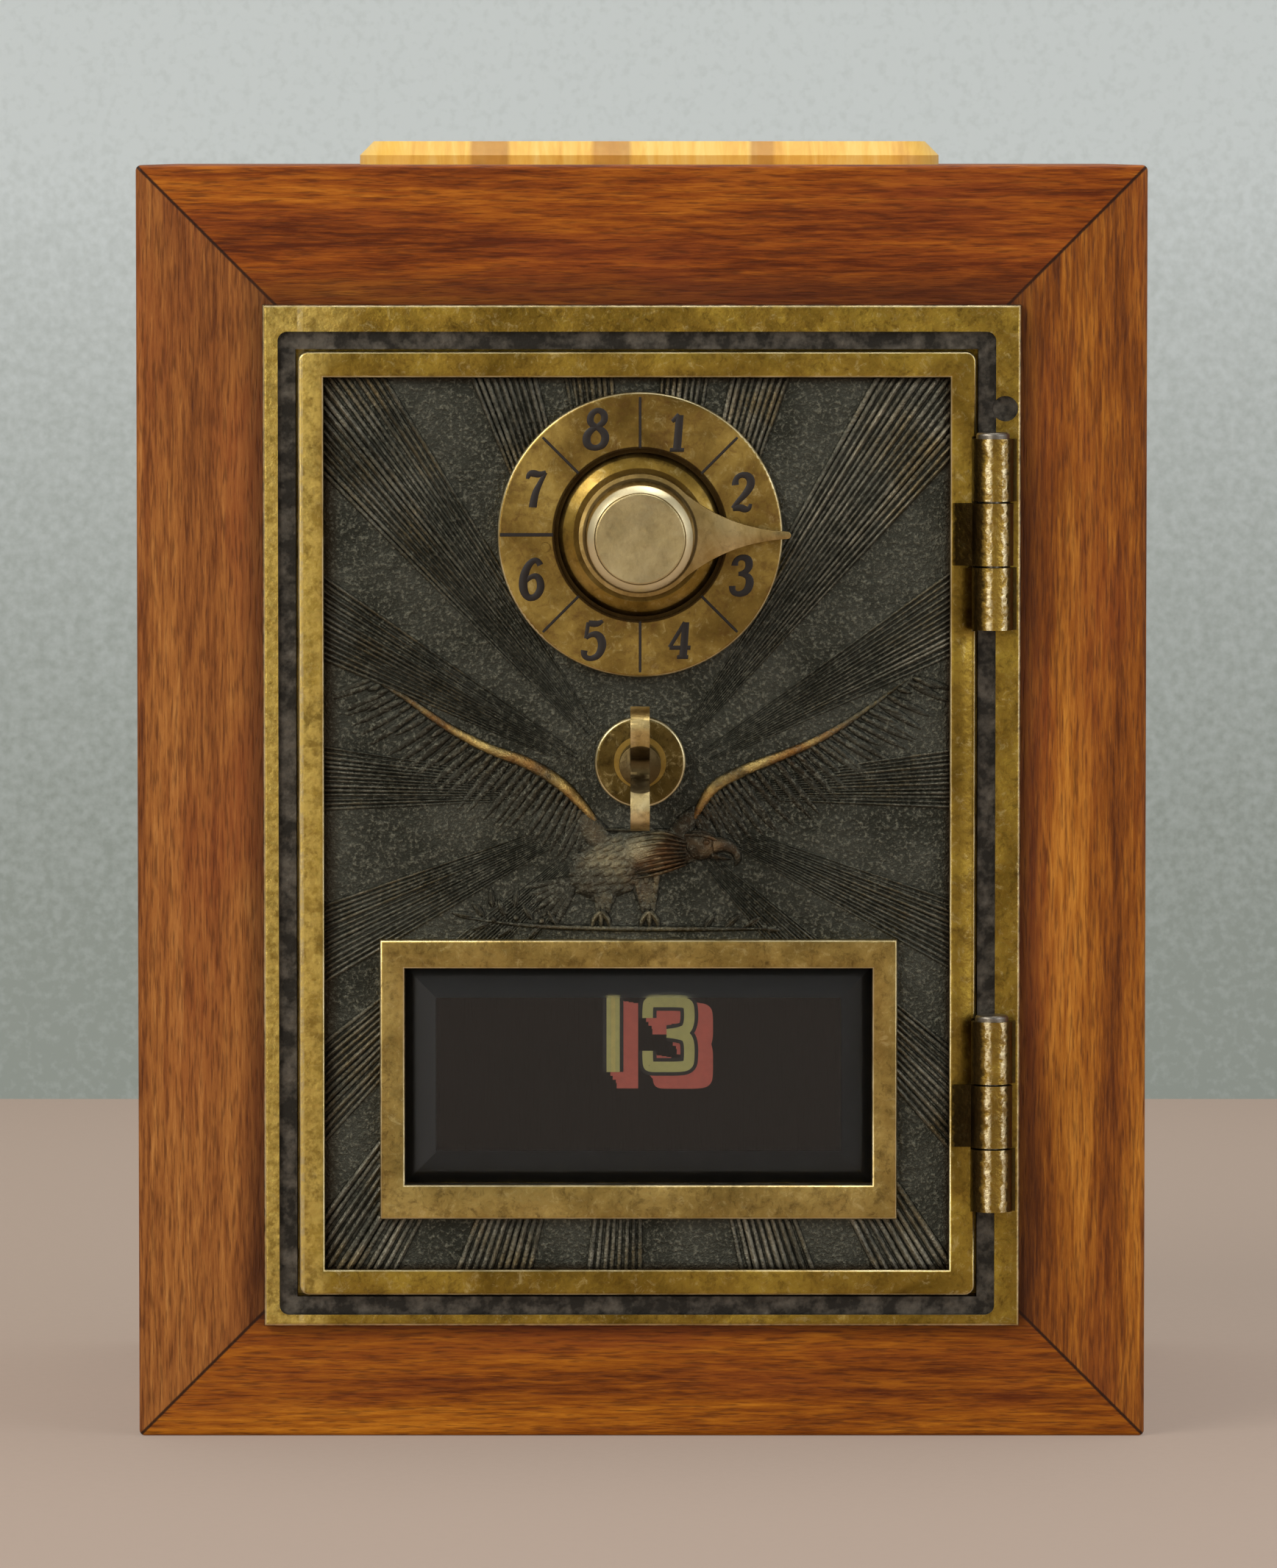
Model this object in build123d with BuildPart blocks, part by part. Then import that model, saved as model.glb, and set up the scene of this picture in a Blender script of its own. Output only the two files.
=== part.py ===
from build123d import *
from math import ceil, cos, radians, sin
import os

# A brass post office box door, hung in its cast frame and set in the front of a mitred walnut
# case with a coin plate on top. Millimetres. +Z is up, the front faces -Y and +X is to the
# right. The origin is the centre of the case's bottom face. A depth is a value of y, and a
# smaller y is nearer to the front.

# ---------------------------------------------------------------- walnut case
case_width = 127.0
case_height = 160.4
case_depth = 101.6
board_thickness = 18.0
outer_edge_radius = 0.7  # eased outer arrises
panel_thickness = 5.0
panel_lap = 5.0  # how far the back panel laps onto each board
panel_inset = 0.9  # the panel's outside lies this far inside the boards' back edges
panel_play = 0.2  # all round the panel in its rebate
sleeve_play = 0.25  # between the frame's sleeve and the bottom board's rebate

# coin plate
plate_length = 75.0
plate_width = 30.0
plate_thickness = 3.0
plate_shift = 1.0  # the plate sits this far right of the middle
plate_corner_radius = 7.0
plate_bevel = 1.8
coin_slot_length = 30.0
coin_slot_width = 4.4

# ---------------------------------------------------------------- cast frame
lip_width = 95.2
lip_height = 128.7
lip_thickness = 2.0
lip_edge_radius = 0.5
frame_drop = 1.65  # the frame sits this far below the middle of the case
ledge_width = 2.2
ledge_drop = 1.0  # the ledge lies this far behind the lip's face
sleeve_wall = 1.2
sleeve_depth = 14.8
stop_thickness = 1.8
stop_lap = 2.8  # how far the stop reaches in behind the door's edge

# ---------------------------------------------------------------- cast door
door_width = 85.0
door_height = 118.8
door_shift_x = -0.6  # door centre from the frame's centre
door_shift_z = -0.95
door_gap = 0.35  # all round, between the door and the frame
door_depth = 5.0
door_corner_radius = 1.2
rim_width = 3.2
rim_proud = 0.5  # the rim's face stands this far in front of the lip's face
rim_edge_radius = 0.35
field_recess = 1.6
field_thickness = 1.8
border_width = 4.0  # the deep border round the door's back
seat_gap = 0.3  # between the closed door and its stop

# window and its glass
window_width = 58.9
window_height = 27.4
window_shift_x = 0.2  # window centre from the door's centre
window_drop = 0.45  # the window sits this far below the middle of the room under the lock
bezel_side = 3.1
bezel_top = 3.6
bezel_bottom = 4.3
bezel_height = 1.7
bezel_edge_radius = 0.4
glass_thickness = 3.0
glass_lap = 1.8  # the glass reaches this far past the opening
glass_bevel = 3.9  # width of bevel that shows inside the opening
glass_bevel_slope = 0.2
glass_play = 0.15
retainer_margin = 4.0  # beside the glass, where its screws are
retainer_rim = 1.6  # above and below the glass
retainer_screw_inset = 2.5  # from the glass's upper and lower edges
retainer_lap = 1.4
retainer_lip = 1.2

# sunburst in low relief
ray_origin_drop = 4.2  # the ridges point at a middle this far below the latch
ray_height = 0.35
ray_width = 0.45
ray_pitch = 2.4  # degrees
ray_start = 12.0
ray_margin = 0.4  # a ridge stops this far short of what it meets
# each bundle of ridges: its middle direction and its spread, degrees from +X
ray_bundles = [
    (3, 11), (30, 12), (54, 13), (74, 7), (84, 7), (97, 7), (108, 8), (128, 12), (151, 11), (177, 12),
    (205, 12), (223, 9), (238, 10), (253, 9), (267, 6), (286, 8), (300, 7), (316, 9), (336, 10),
]

# eagle in low relief; its points are measured from the latch's centre, across and up
wing_height = 0.8
wing_leading = [(7.3, -5.3), (13.5, -0.2), (24.2, 4.1), (33.8, 10.5)]
wing_trailing = [(25.5, 0.7), (14.5, -6.5), (6.5, -8.7)]
body_height = 1.4
body_place = (-2.4, -12.9)
body_slant = 20
body_long_radius = 6.4
body_short_radius = 4.4
crown_points = [(1.4, -8.9), (5.6, -7.9), (8.8, -10.3)]
beak_points = [(11.2, -10.7), (12.6, -12.7)]
throat_points = [(8.2, -13.1), (3.4, -14.5)]
branch_shift = 3.8  # the branch's middle lies this far right of the latch
branch_rise = 1.5  # and this far above the window's border
branch_length = 27.0
branch_height = 0.7
branch_width = 1.0

# ---------------------------------------------------------------- hinges
barrel_radius = 2.6
barrel_offset = 2.1  # from the door's edge to the hinge line
barrel_stand = 1.8  # the hinge line stands this far in front of the lip's face
knuckle_length = 8.07
knuckle_gap = 0.25
hinge_spacing = 73.2  # between the middles of the two hinges
swing_clearance = 0.3  # round a barrel, cut into the other casting
pin_radius = 1.1
pin_head_radius = 2.1
pin_head_height = 0.8
running_clearance = 0.05  # radial, in every bearing
web_reach = 5.0
web_thickness = 1.6
foot_reach = 3.0
notch_radius = 1.6  # screw-driver notch in the lip, above the upper hinge
notch_depth = 1.2
notch_above = 3.6

# ---------------------------------------------------------------- dial
spindle_x = -0.2
dial_drop = 22.9  # from the door's top edge to the dial's centre
dial_radius = 17.9
dial_thickness = 1.8
dial_edge_radius = 0.4
dial_sectors = 8
divider_width = 0.35
divider_depth = 0.3
divider_end_gap = 0.5  # a divider ends this far inside the dial's rounded edge
dial_recess_radius = 10.8
dial_recess_depth = 0.9
rivet_radius = 0.6
rivet_circle = 12.0
rivet_head = 0.2
bush_ring_radius = 10.3
bush_ring_top_radius = 8.4
bush_ring_height = 1.4
bush_radius = 3.6
bush_behind = 1.8  # the bush stands this far out of the plate's back
nut_radius = 5.5
nut_thickness = 1.5
dial_spindle_radius = 2.0
fixed_clearance = 0.02  # radial, where two pieces are fastened together

# pointer knob
knob_height = 13.4
knob_lift = 0.3  # running gap under the pointer
hub_radius = 7.7
hub_thickness = 2.4
drum_radius = 6.9
drum_top_radius = 6.65
drum_edge = 0.9
pointer_reach = 18.9
pointer_tip_radius = 0.45
pointer_tip_thickness = 1.1
pointer_root_angle = 55  # where the flanks leave the hub, degrees off the pointer's line
pointer_sag = 0.3  # half-way along, a flank keeps this share of its width at the root
spindle_blind = 2.4  # the spindle stops this far behind the knob's face
cap_radius = 5.65
cap_thickness = 1.2
cap_proud = 0.3
cap_edge_radius = 0.25

# ---------------------------------------------------------------- turn latch
latch_drop = 28.6  # from the dial's centre to the latch's
rose_radius = 5.75
rose_thickness = 1.5
rose_edge_radius = 0.5
latch_bush_radius = 3.3
latch_bush_behind = 0.4
latch_spindle_radius = 1.7
stem_radius = 2.6
stem_length = 4.0
bow_width = 15.3
bow_thickness = 2.4
bow_height = 13.0
bow_waist = 6.0
# the bow's outline: share of its height from its back, share of its half-width
bow_outline = [(0.22, 0.74), (0.5, 0.97), (0.75, 0.98), (0.95, 0.72), (0.9, 0.42), (0.68, 0.17), (0.62, 0)]
rivet_stand = 0.4

# ---------------------------------------------------------------- combination lock
cam_gap = 0.6  # between the plate's back and the latch cam
cam_thickness = 2.0
cam_radius = 5.0
arm_width = 3.2
latch_angle = 90  # travel of the latch from open to locked, degrees
finger_reach = 13.4
finger_thickness = 1.5
finger_width = 3.0
finger_past = 0.8  # the finger reaches this far behind the last wheel
crank_throw = 2.9
crank_pin_radius = 0.9
slot_clearance = 0.25
wheel_count = 3
wheel_radius = 17.0
wheel_thickness = 1.8
wheel_gap = 1.6
wheel_standoff = 1.3
gate_clearance = 0.35
fly_radius = 0.6
fly_circle = 7.0
fly_height = 1.2
fly_lead = 15  # degrees between the two flies that meet in one gap
spacer_radius = 4.0
axial_play = 0.05
drive_cam_radius = 9.0
relief_radius = 1.5
relief_circle = 11.5
relief_count = 6

# bolt
bolt_play = 0.3
bolt_thickness = 2.5
bolt_above = 0.8  # the bolt's top edge from the latch line
bolt_below = 6.5
bolt_tail = 14.0  # the bolt's inner end, right of the latch line
bolt_bevel = 0.8
guide_play = 0.12
guide_wall = 1.8
guide_length = 4.0
guide_left = 30.0  # left guide's middle, left of the latch line
guide_right = 10.5
foot_length = 9.0
foot_height = 4.2
foot_thickness = 1.2
foot_screw_pitch = 5.4

# cover
cover_half_width = 21.0
cover_wall = 1.2
cover_below = 15.2  # from the latch line to the cover's lower edge
cover_above = 18.6  # from the dial's centre to the cover's upper edge
cover_rear_gap = 1.6
cover_edge_radius = 1.5
cover_slot_play = 0.5
post_radius = 2.2
post_inset = 3.8
clip_radius = 3.6
clip_thickness = 0.8
clip_gap = 0.1
spindle_past_clip = 0.3

# ---------------------------------------------------------------- screws
small_screw_radius = 1.0
small_head_radius = 1.9
small_head_height = 0.9
slot_width = 0.5
slot_depth = 0.35
wood_screw_radius = 1.2
wood_head_radius = 2.4
wood_screw_length = 12.0
screw_dome = 0.6  # share of a wood screw's head radius where its dome starts
screw_grip = 1.1  # depth of the small screws' threads in the cast plate
frame_screw_radius = 1.1
frame_head_radius = 2.0
frame_head_height = 0.8
frame_screw_length = 9.0
frame_screw_inset = 4.2  # from the sleeve's back edge
frame_screw_spacing = 78.0

past = 1.0  # cutters reach this far past what they cut

# ---------------------------------------------------------------- worked out from the sizes above
front_y = -case_depth / 2
back_y = case_depth / 2
opening_width = case_width - 2 * board_thickness
opening_height = case_height - 2 * board_thickness

frame_z = case_height / 2 - frame_drop
door_x = door_shift_x
door_z = frame_z + door_shift_z
door_left = door_x - door_width / 2
door_right = door_x + door_width / 2

lip_front_y = front_y - lip_thickness
ledge_front_y = lip_front_y + ledge_drop
rim_front_y = lip_front_y - rim_proud
field_y = rim_front_y + field_recess
plate_back_y = field_y + field_thickness
door_back_y = rim_front_y + door_depth
stop_front_y = door_back_y + seat_gap
stop_back_y = stop_front_y + stop_thickness
sleeve_back_y = front_y + sleeve_depth

sleeve_inner_width = door_width + 2 * door_gap
sleeve_inner_height = door_height + 2 * door_gap
sleeve_outer_width = sleeve_inner_width + 2 * sleeve_wall
sleeve_outer_height = sleeve_inner_height + 2 * sleeve_wall

hinge_x = door_right + barrel_offset
hinge_y = lip_front_y - barrel_stand
hinge_heights = [door_z - hinge_spacing / 2, door_z + hinge_spacing / 2]

# the lock hangs from the door's top edge, and the window fills the room below its cover
door_top = door_z + door_height / 2
door_bottom = door_z - door_height / 2
dial_z = door_top - dial_drop
latch_z = dial_z - latch_drop
ray_origin_z = latch_z - ray_origin_drop
cover_high_z = dial_z + cover_above
cover_low_z = latch_z - cover_below
window_z = (cover_low_z + door_bottom + border_width) / 2 - window_drop

window_x = door_x + window_shift_x
glass_width = window_width + 2 * glass_lap
glass_height = window_height + 2 * glass_lap
glass_front_y = plate_back_y - glass_bevel * glass_bevel_slope
glass_back_y = glass_front_y + glass_thickness
retainer_back_y = glass_back_y + retainer_lip
retainer_width = glass_width + 2 * retainer_margin
retainer_height = glass_height + 2 * retainer_rim

dial_front_y = field_y - dial_thickness
dial_recess_y = dial_front_y + dial_recess_depth
bush_ring_y = dial_recess_y - bush_ring_height
pointer_back_y = bush_ring_y - knob_lift
knob_front_y = pointer_back_y - knob_height

rose_front_y = field_y - rose_thickness
stem_back_y = rose_front_y - knob_lift
bow_back_y = stem_back_y - stem_length
bow_front_y = bow_back_y - bow_height

cam_front_y = plate_back_y + cam_gap
cam_back_y = cam_front_y + cam_thickness
wheel_pitch = wheel_thickness + wheel_gap
wheel_fronts = [cam_back_y + wheel_standoff + n * wheel_pitch for n in range(wheel_count)]
drive_front_y = wheel_fronts[-1] + wheel_pitch
drive_back_y = drive_front_y + wheel_thickness
cover_inner_y = drive_back_y + cover_rear_gap
cover_outer_y = cover_inner_y + cover_wall
finger_back_y = wheel_fronts[-1] + wheel_thickness + finger_past
gate_radius = finger_reach + gate_clearance

bolt_front_y = stop_back_y + bolt_play
bolt_back_y = bolt_front_y + bolt_thickness
bolt_throw = 2 * crank_throw * sin(radians(latch_angle / 2))
crank_x = spindle_x + bolt_throw / 2
crank_rest_z = latch_z - crank_throw * cos(radians(latch_angle / 2))

# The withdrawn bolt's inner corner swings past the stop with the play that the bolt has.
stop_edge_reach = hinge_x - (door_left + stop_lap) - bolt_play
bolt_tip_x = hinge_x - (stop_edge_reach**2 - (bolt_back_y - hinge_y) ** 2) ** 0.5
bolt_tail_x = spindle_x + bolt_tail
bolt_z = latch_z + (bolt_above - bolt_below) / 2
bolt_height = bolt_above + bolt_below

guide_centres = [spindle_x - guide_left, spindle_x + guide_right]
guide_back_y = bolt_back_y + guide_play + guide_wall
foot_z = bolt_z - bolt_height / 2 - guide_play - guide_wall - foot_height / 2
guide_screw_places = [
    (guide_x + side * foot_screw_pitch / 2, foot_z) for guide_x in guide_centres for side in (-1, 1)
]
retainer_screw_x = (glass_width + retainer_margin) / 2
retainer_screw_z = glass_height / 2 - retainer_screw_inset
retainer_screw_places = [
    (window_x + side_x * retainer_screw_x, window_z + side_z * retainer_screw_z)
    for side_x in (-1, 1)
    for side_z in (-1, 1)
]


def facing(y):
    """The plane at depth y that faces the front: its x is +X and its y is +Z."""
    return Plane.XZ.offset(-y)


def upright(x, y, z):
    """A level plane with its origin at a point: its normal is +Z."""
    return Plane(origin=(x, y, z), x_dir=(1, 0, 0), z_dir=(0, 0, 1))


pieces = []


def keep(builder, name):
    """Label a finished piece and put it on the list that is written out."""
    builder.part.label = name
    pieces.append(builder)


# ================================================================ walnut case
panel_width = opening_width + 2 * panel_lap
panel_height = opening_height + 2 * panel_lap
panel_front_y = back_y - panel_inset - panel_thickness
case_z = case_height / 2
panel_screw_x = (panel_width - panel_lap) / 2
panel_screw_z = (panel_height - panel_lap) / 2
frame_screw_y = sleeve_back_y - frame_screw_inset

with BuildPart() as case_ring:
    with BuildSketch(facing(back_y)):
        with Locations((0, case_z)):
            Rectangle(case_width, case_height)
            Rectangle(opening_width, opening_height, mode=Mode.SUBTRACT)
    extrude(amount=case_depth)
    face_edges = case_ring.faces().sort_by(Axis.Y)[0].outer_wire().edges()
    long_edges = case_ring.edges().filter_by(Axis.Y)
    corner_edges = long_edges.filter_by(lambda edge: abs(edge.center().X) > opening_width / 2)
    fillet(face_edges + corner_edges, outer_edge_radius)
    # rebate for the back panel
    with BuildSketch(facing(back_y)):
        with Locations((0, case_z)):
            Rectangle(panel_width, panel_height)
    extrude(amount=back_y - panel_front_y, mode=Mode.SUBTRACT)
    # rebate that lets the low-set frame into the boards' front
    with BuildSketch(facing(front_y)):
        with Locations((door_x, door_z)):
            Rectangle(sleeve_outer_width + 2 * sleeve_play, sleeve_outer_height + 2 * sleeve_play)
    extrude(amount=-(sleeve_depth + sleeve_play), mode=Mode.SUBTRACT)
    # pilot holes for the panel's screws
    with BuildSketch(facing(panel_front_y)):
        with Locations((0, case_z)):
            with GridLocations(2 * panel_screw_x, 2 * panel_screw_z, 2, 2):
                Circle(wood_screw_radius + fixed_clearance)
    extrude(amount=wood_screw_length - panel_thickness, mode=Mode.SUBTRACT)
    # pilot holes for the frame's screws
    pilot_reach = sleeve_outer_width / 2 + frame_screw_length + sleeve_play
    with BuildSketch(Plane.YZ.offset(door_x - pilot_reach)):
        with Locations((frame_screw_y, door_z)):
            with GridLocations(0, frame_screw_spacing, 1, 2):
                Circle(frame_screw_radius + fixed_clearance)
    extrude(amount=2 * pilot_reach, mode=Mode.SUBTRACT)
    # coin slot
    with BuildSketch(Plane.XY.offset(case_height)):
        with Locations((plate_shift, 0)):
            SlotOverall(coin_slot_length, coin_slot_width)
    extrude(amount=-board_thickness, mode=Mode.SUBTRACT)

# The ring is cut along its mitres into four boards. Each cutter reaches a little past the wood.
left_x, right_x = -case_width / 2 - past, case_width / 2 + past
low_z, high_z = -past, case_height + past
deep = board_thickness + 2 * past
inner_left, inner_right = left_x + deep, right_x - deep
inner_low, inner_high = low_z + deep, high_z - deep
outer_corners = [(left_x, low_z), (left_x, high_z), (right_x, high_z), (right_x, low_z)]
inner_corners = [
    (inner_left, inner_low), (inner_left, inner_high), (inner_right, inner_high), (inner_right, inner_low)
]
board_names = ["case_left_board", "case_top_board", "case_right_board", "case_bottom_board"]
for side, board_name in enumerate(board_names):
    after = (side + 1) % len(board_names)
    with BuildPart() as board:
        add(case_ring.part)
        with BuildSketch(facing(back_y + past)):
            with BuildLine():
                Polyline(
                    outer_corners[side],
                    outer_corners[after],
                    inner_corners[after],
                    inner_corners[side],
                    close=True,
                )
            make_face()
        extrude(amount=case_depth + 2 * past, mode=Mode.INTERSECT)
    keep(board, board_name)

with BuildPart() as back_panel:
    with BuildSketch(facing(panel_front_y + panel_thickness)):
        with Locations((0, case_z)):
            Rectangle(panel_width - 2 * panel_play, panel_height - 2 * panel_play)
    extrude(amount=panel_thickness)
    panel_back = Plane(origin=(0, panel_front_y + panel_thickness, case_z), x_dir=(-1, 0, 0), z_dir=(0, 1, 0))
    with Locations(panel_back):
        with GridLocations(2 * panel_screw_x, 2 * panel_screw_z, 2, 2):
            CounterSinkHole(wood_screw_radius + fixed_clearance, wood_head_radius + fixed_clearance)
keep(back_panel, "back_panel")

countersink_depth = wood_head_radius - wood_screw_radius
with BuildPart() as back_screws:
    for screw_x in (-panel_screw_x, panel_screw_x):
        for screw_z in (case_z - panel_screw_z, case_z + panel_screw_z):
            screw_plane = Plane(
                origin=(screw_x, panel_front_y + panel_thickness, screw_z), x_dir=(1, 0, 0), z_dir=(0, 0, 1)
            )
            with BuildSketch(screw_plane):
                with BuildLine():
                    Polyline(
                        (0, panel_inset / 2),
                        (wood_head_radius * screw_dome, panel_inset / 3),
                        (wood_head_radius, 0),
                        (wood_screw_radius, -countersink_depth),
                        (wood_screw_radius, -wood_screw_length + countersink_depth),
                        (0, -wood_screw_length),
                        close=True,
                    )
                make_face()
            revolve(axis=Axis((screw_x, 0, screw_z), (0, 1, 0)))
    with BuildSketch(facing(back_y)):
        for screw_x in (-panel_screw_x, panel_screw_x):
            for screw_z in (case_z - panel_screw_z, case_z + panel_screw_z):
                with Locations((screw_x, screw_z)):
                    Rectangle(2 * wood_head_radius, slot_width)
    extrude(amount=panel_inset + slot_depth, mode=Mode.SUBTRACT)
keep(back_screws, "back_screws")

with BuildPart() as coin_plate:
    with BuildSketch(Plane.XY.offset(case_height)):
        with Locations((plate_shift, 0)):
            RectangleRounded(plate_length, plate_width, plate_corner_radius)
    extrude(amount=plate_thickness)
    chamfer(coin_plate.faces().sort_by(Axis.Z)[-1].edges(), plate_bevel)
    with BuildSketch(Plane.XY.offset(case_height)):
        with Locations((plate_shift, 0)):
            SlotOverall(coin_slot_length, coin_slot_width)
    extrude(amount=plate_thickness, mode=Mode.SUBTRACT)
keep(coin_plate, "coin_plate")

# ================================================================ cast frame
with BuildPart() as door_frame:
    # lip on the face of the wood
    with BuildSketch(facing(front_y)):
        with Locations((0, frame_z)):
            Rectangle(lip_width, lip_height)
    extrude(amount=lip_thickness)
    fillet(door_frame.faces().sort_by(Axis.Y)[0].edges(), lip_edge_radius)
    # step down to the ledge
    with BuildSketch(facing(lip_front_y)):
        with Locations((door_x, door_z)):
            RectangleRounded(
                sleeve_inner_width + 2 * ledge_width,
                sleeve_inner_height + 2 * ledge_width,
                door_corner_radius,
            )
    extrude(amount=-ledge_drop, mode=Mode.SUBTRACT)
    # sleeve that goes into the case, with the stop inside it
    with BuildSketch(facing(sleeve_back_y)):
        with Locations((door_x, door_z)):
            Rectangle(sleeve_outer_width, sleeve_outer_height)
    extrude(amount=sleeve_depth)
    with BuildSketch(facing(sleeve_back_y)):
        with Locations((door_x, door_z)):
            Rectangle(sleeve_inner_width, sleeve_inner_height)
    extrude(amount=sleeve_back_y - lip_front_y, mode=Mode.SUBTRACT)
    with BuildSketch(facing(stop_back_y)):
        with Locations((door_x, door_z)):
            Rectangle(sleeve_inner_width, sleeve_inner_height)
            Rectangle(door_width - 2 * stop_lap, door_height - 2 * stop_lap, mode=Mode.SUBTRACT)
    extrude(amount=stop_thickness)
    # outer knuckles of both hinges, each on its foot
    for hinge_height in hinge_heights:
        for step in (-1, 1):
            knuckle_z = hinge_height + step * knuckle_length
            with BuildSketch(upright(hinge_x, hinge_y, knuckle_z)):
                Circle(barrel_radius)
                with Locations((foot_reach / 2, barrel_stand / 2)):
                    Rectangle(foot_reach, barrel_stand)
            extrude(amount=(knuckle_length - knuckle_gap) / 2, both=True)
    # room for the door's knuckles to turn
    for hinge_height in hinge_heights:
        with BuildSketch(upright(hinge_x, hinge_y, hinge_height)):
            Circle(barrel_radius + swing_clearance)
        extrude(amount=(knuckle_length + knuckle_gap) / 2, both=True, mode=Mode.SUBTRACT)
        with BuildSketch(upright(hinge_x, hinge_y, hinge_height)):
            Circle(pin_radius + fixed_clearance)
        extrude(amount=1.5 * knuckle_length, both=True, mode=Mode.SUBTRACT)
        with BuildSketch(upright(hinge_x, hinge_y, hinge_height + 1.5 * knuckle_length - knuckle_gap / 2)):
            Circle(pin_head_radius + fixed_clearance)
        extrude(amount=pin_head_height, mode=Mode.SUBTRACT)
    # round notch in the lip above the upper hinge
    with BuildSketch(facing(lip_front_y)):
        with Locations((hinge_x + notch_radius, hinge_heights[1] + 1.5 * knuckle_length + notch_above)):
            Circle(notch_radius)
    extrude(amount=-notch_depth, mode=Mode.SUBTRACT)
    # holes for the four screws that hold the sleeve to the side boards
    with BuildSketch(Plane.YZ.offset(door_x - sleeve_outer_width / 2)):
        with Locations((frame_screw_y, door_z)):
            with GridLocations(0, frame_screw_spacing, 1, 2):
                Circle(frame_screw_radius + fixed_clearance)
    extrude(amount=sleeve_outer_width, mode=Mode.SUBTRACT)
keep(door_frame, "door_frame")

with BuildPart() as frame_screws:
    for side in (-1, 1):
        wall_x = door_x + side * sleeve_inner_width / 2
        for screw_z in (door_z - frame_screw_spacing / 2, door_z + frame_screw_spacing / 2):
            wall = Plane(origin=(wall_x, frame_screw_y, screw_z), x_dir=(0, 1, 0), z_dir=(side, 0, 0))
            with BuildSketch(wall):
                Circle(frame_head_radius)
            extrude(amount=-frame_head_height)
            with BuildSketch(wall):
                Circle(frame_screw_radius)
            extrude(amount=sleeve_wall + frame_screw_length)
            with BuildSketch(wall):
                Rectangle(2 * frame_head_radius, slot_width)
            extrude(amount=-frame_head_height, mode=Mode.SUBTRACT)
keep(frame_screws, "frame_screws")

# ================================================================ cast door
field_half_width = door_width / 2 - rim_width
field_half_height = door_height / 2 - rim_width
bezel_half_width = window_width / 2 + bezel_side
bezel_low_z = window_z - window_height / 2 - bezel_bottom
bezel_high_z = window_z + window_height / 2 + bezel_top


def edge_distance(across, up, low_x, high_x, low_z, high_z):
    """How far a ray from the sunburst's middle runs before it leaves a rectangle round it."""
    run_x = (high_x - spindle_x if across > 0 else spindle_x - low_x) / max(abs(across), 1e-9)
    run_z = (high_z - ray_origin_z if up > 0 else ray_origin_z - low_z) / max(abs(up), 1e-9)
    return min(run_x, run_z)


def ray_span(direction):
    """Where a ridge starts and ends, from the sunburst's middle: past the dial and the window."""
    across, up = cos(radians(direction)), sin(radians(direction))
    end = edge_distance(
        across, up, door_x - field_half_width, door_x + field_half_width,
        door_z - field_half_height, door_z + field_half_height,
    )
    start = ray_start
    rise = dial_z - ray_origin_z
    miss = abs(rise * across)
    clear = dial_radius + ray_margin
    if up > 0 and miss < clear:
        start = rise * up + (clear**2 - miss**2) ** 0.5
    if up < 0 and abs((ray_origin_z - bezel_high_z) * across / up) < bezel_half_width:
        start = ray_margin + edge_distance(
            across, up, window_x - bezel_half_width, window_x + bezel_half_width, bezel_low_z, dial_z
        )
    return start, end - ray_margin


ray_directions = [
    middle + (ridge - (ceil(spread / ray_pitch) - 1) / 2) * ray_pitch
    for middle, spread in ray_bundles
    for ridge in range(ceil(spread / ray_pitch))
]
with BuildPart() as sunburst:
    with BuildSketch(facing(field_y)):
        for direction in ray_directions:
            start, end = ray_span(direction)
            if end - start > ray_width:
                with Locations(Location((spindle_x, ray_origin_z), direction)):
                    with Locations(((start + end) / 2, 0)):
                        Rectangle(end - start, ray_width)
    extrude(amount=ray_height)

def from_latch(*points):
    """Places on the door from their distances to the latch's centre, across and up."""
    return [(spindle_x + across, latch_z + up) for across, up in points]


with BuildPart() as eagle:
    # wings: a leading edge that sweeps up and out
    for side in (-1, 1):
        with BuildSketch(facing(field_y)):
            with BuildLine():
                leading = Spline(*from_latch(*[(side * across, up) for across, up in wing_leading]))
                under = from_latch(*[(side * across, up) for across, up in wing_trailing])
                trailing = Spline(leading @ 1, *under)
                Line(trailing @ 1, leading @ 0)
            make_face()
        extrude(amount=wing_height)
    # body and head
    with BuildSketch(facing(field_y)):
        with Locations(Location(*from_latch(body_place), body_slant)):
            Ellipse(body_long_radius, body_short_radius)
    extrude(amount=body_height)
    with BuildSketch(facing(field_y)):
        with BuildLine():
            crown = ThreePointArc(*from_latch(*crown_points))
            beak = ThreePointArc(crown @ 1, *from_latch(*beak_points))
            throat = ThreePointArc(beak @ 1, *from_latch(*throat_points))
            Line(throat @ 1, crown @ 0)
        make_face()
    extrude(amount=body_height)
    # branch under the claws
    with BuildSketch(facing(field_y)):
        with Locations((spindle_x + branch_shift, bezel_high_z + branch_rise)):
            SlotOverall(branch_length, branch_width)
    extrude(amount=branch_height)

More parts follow.
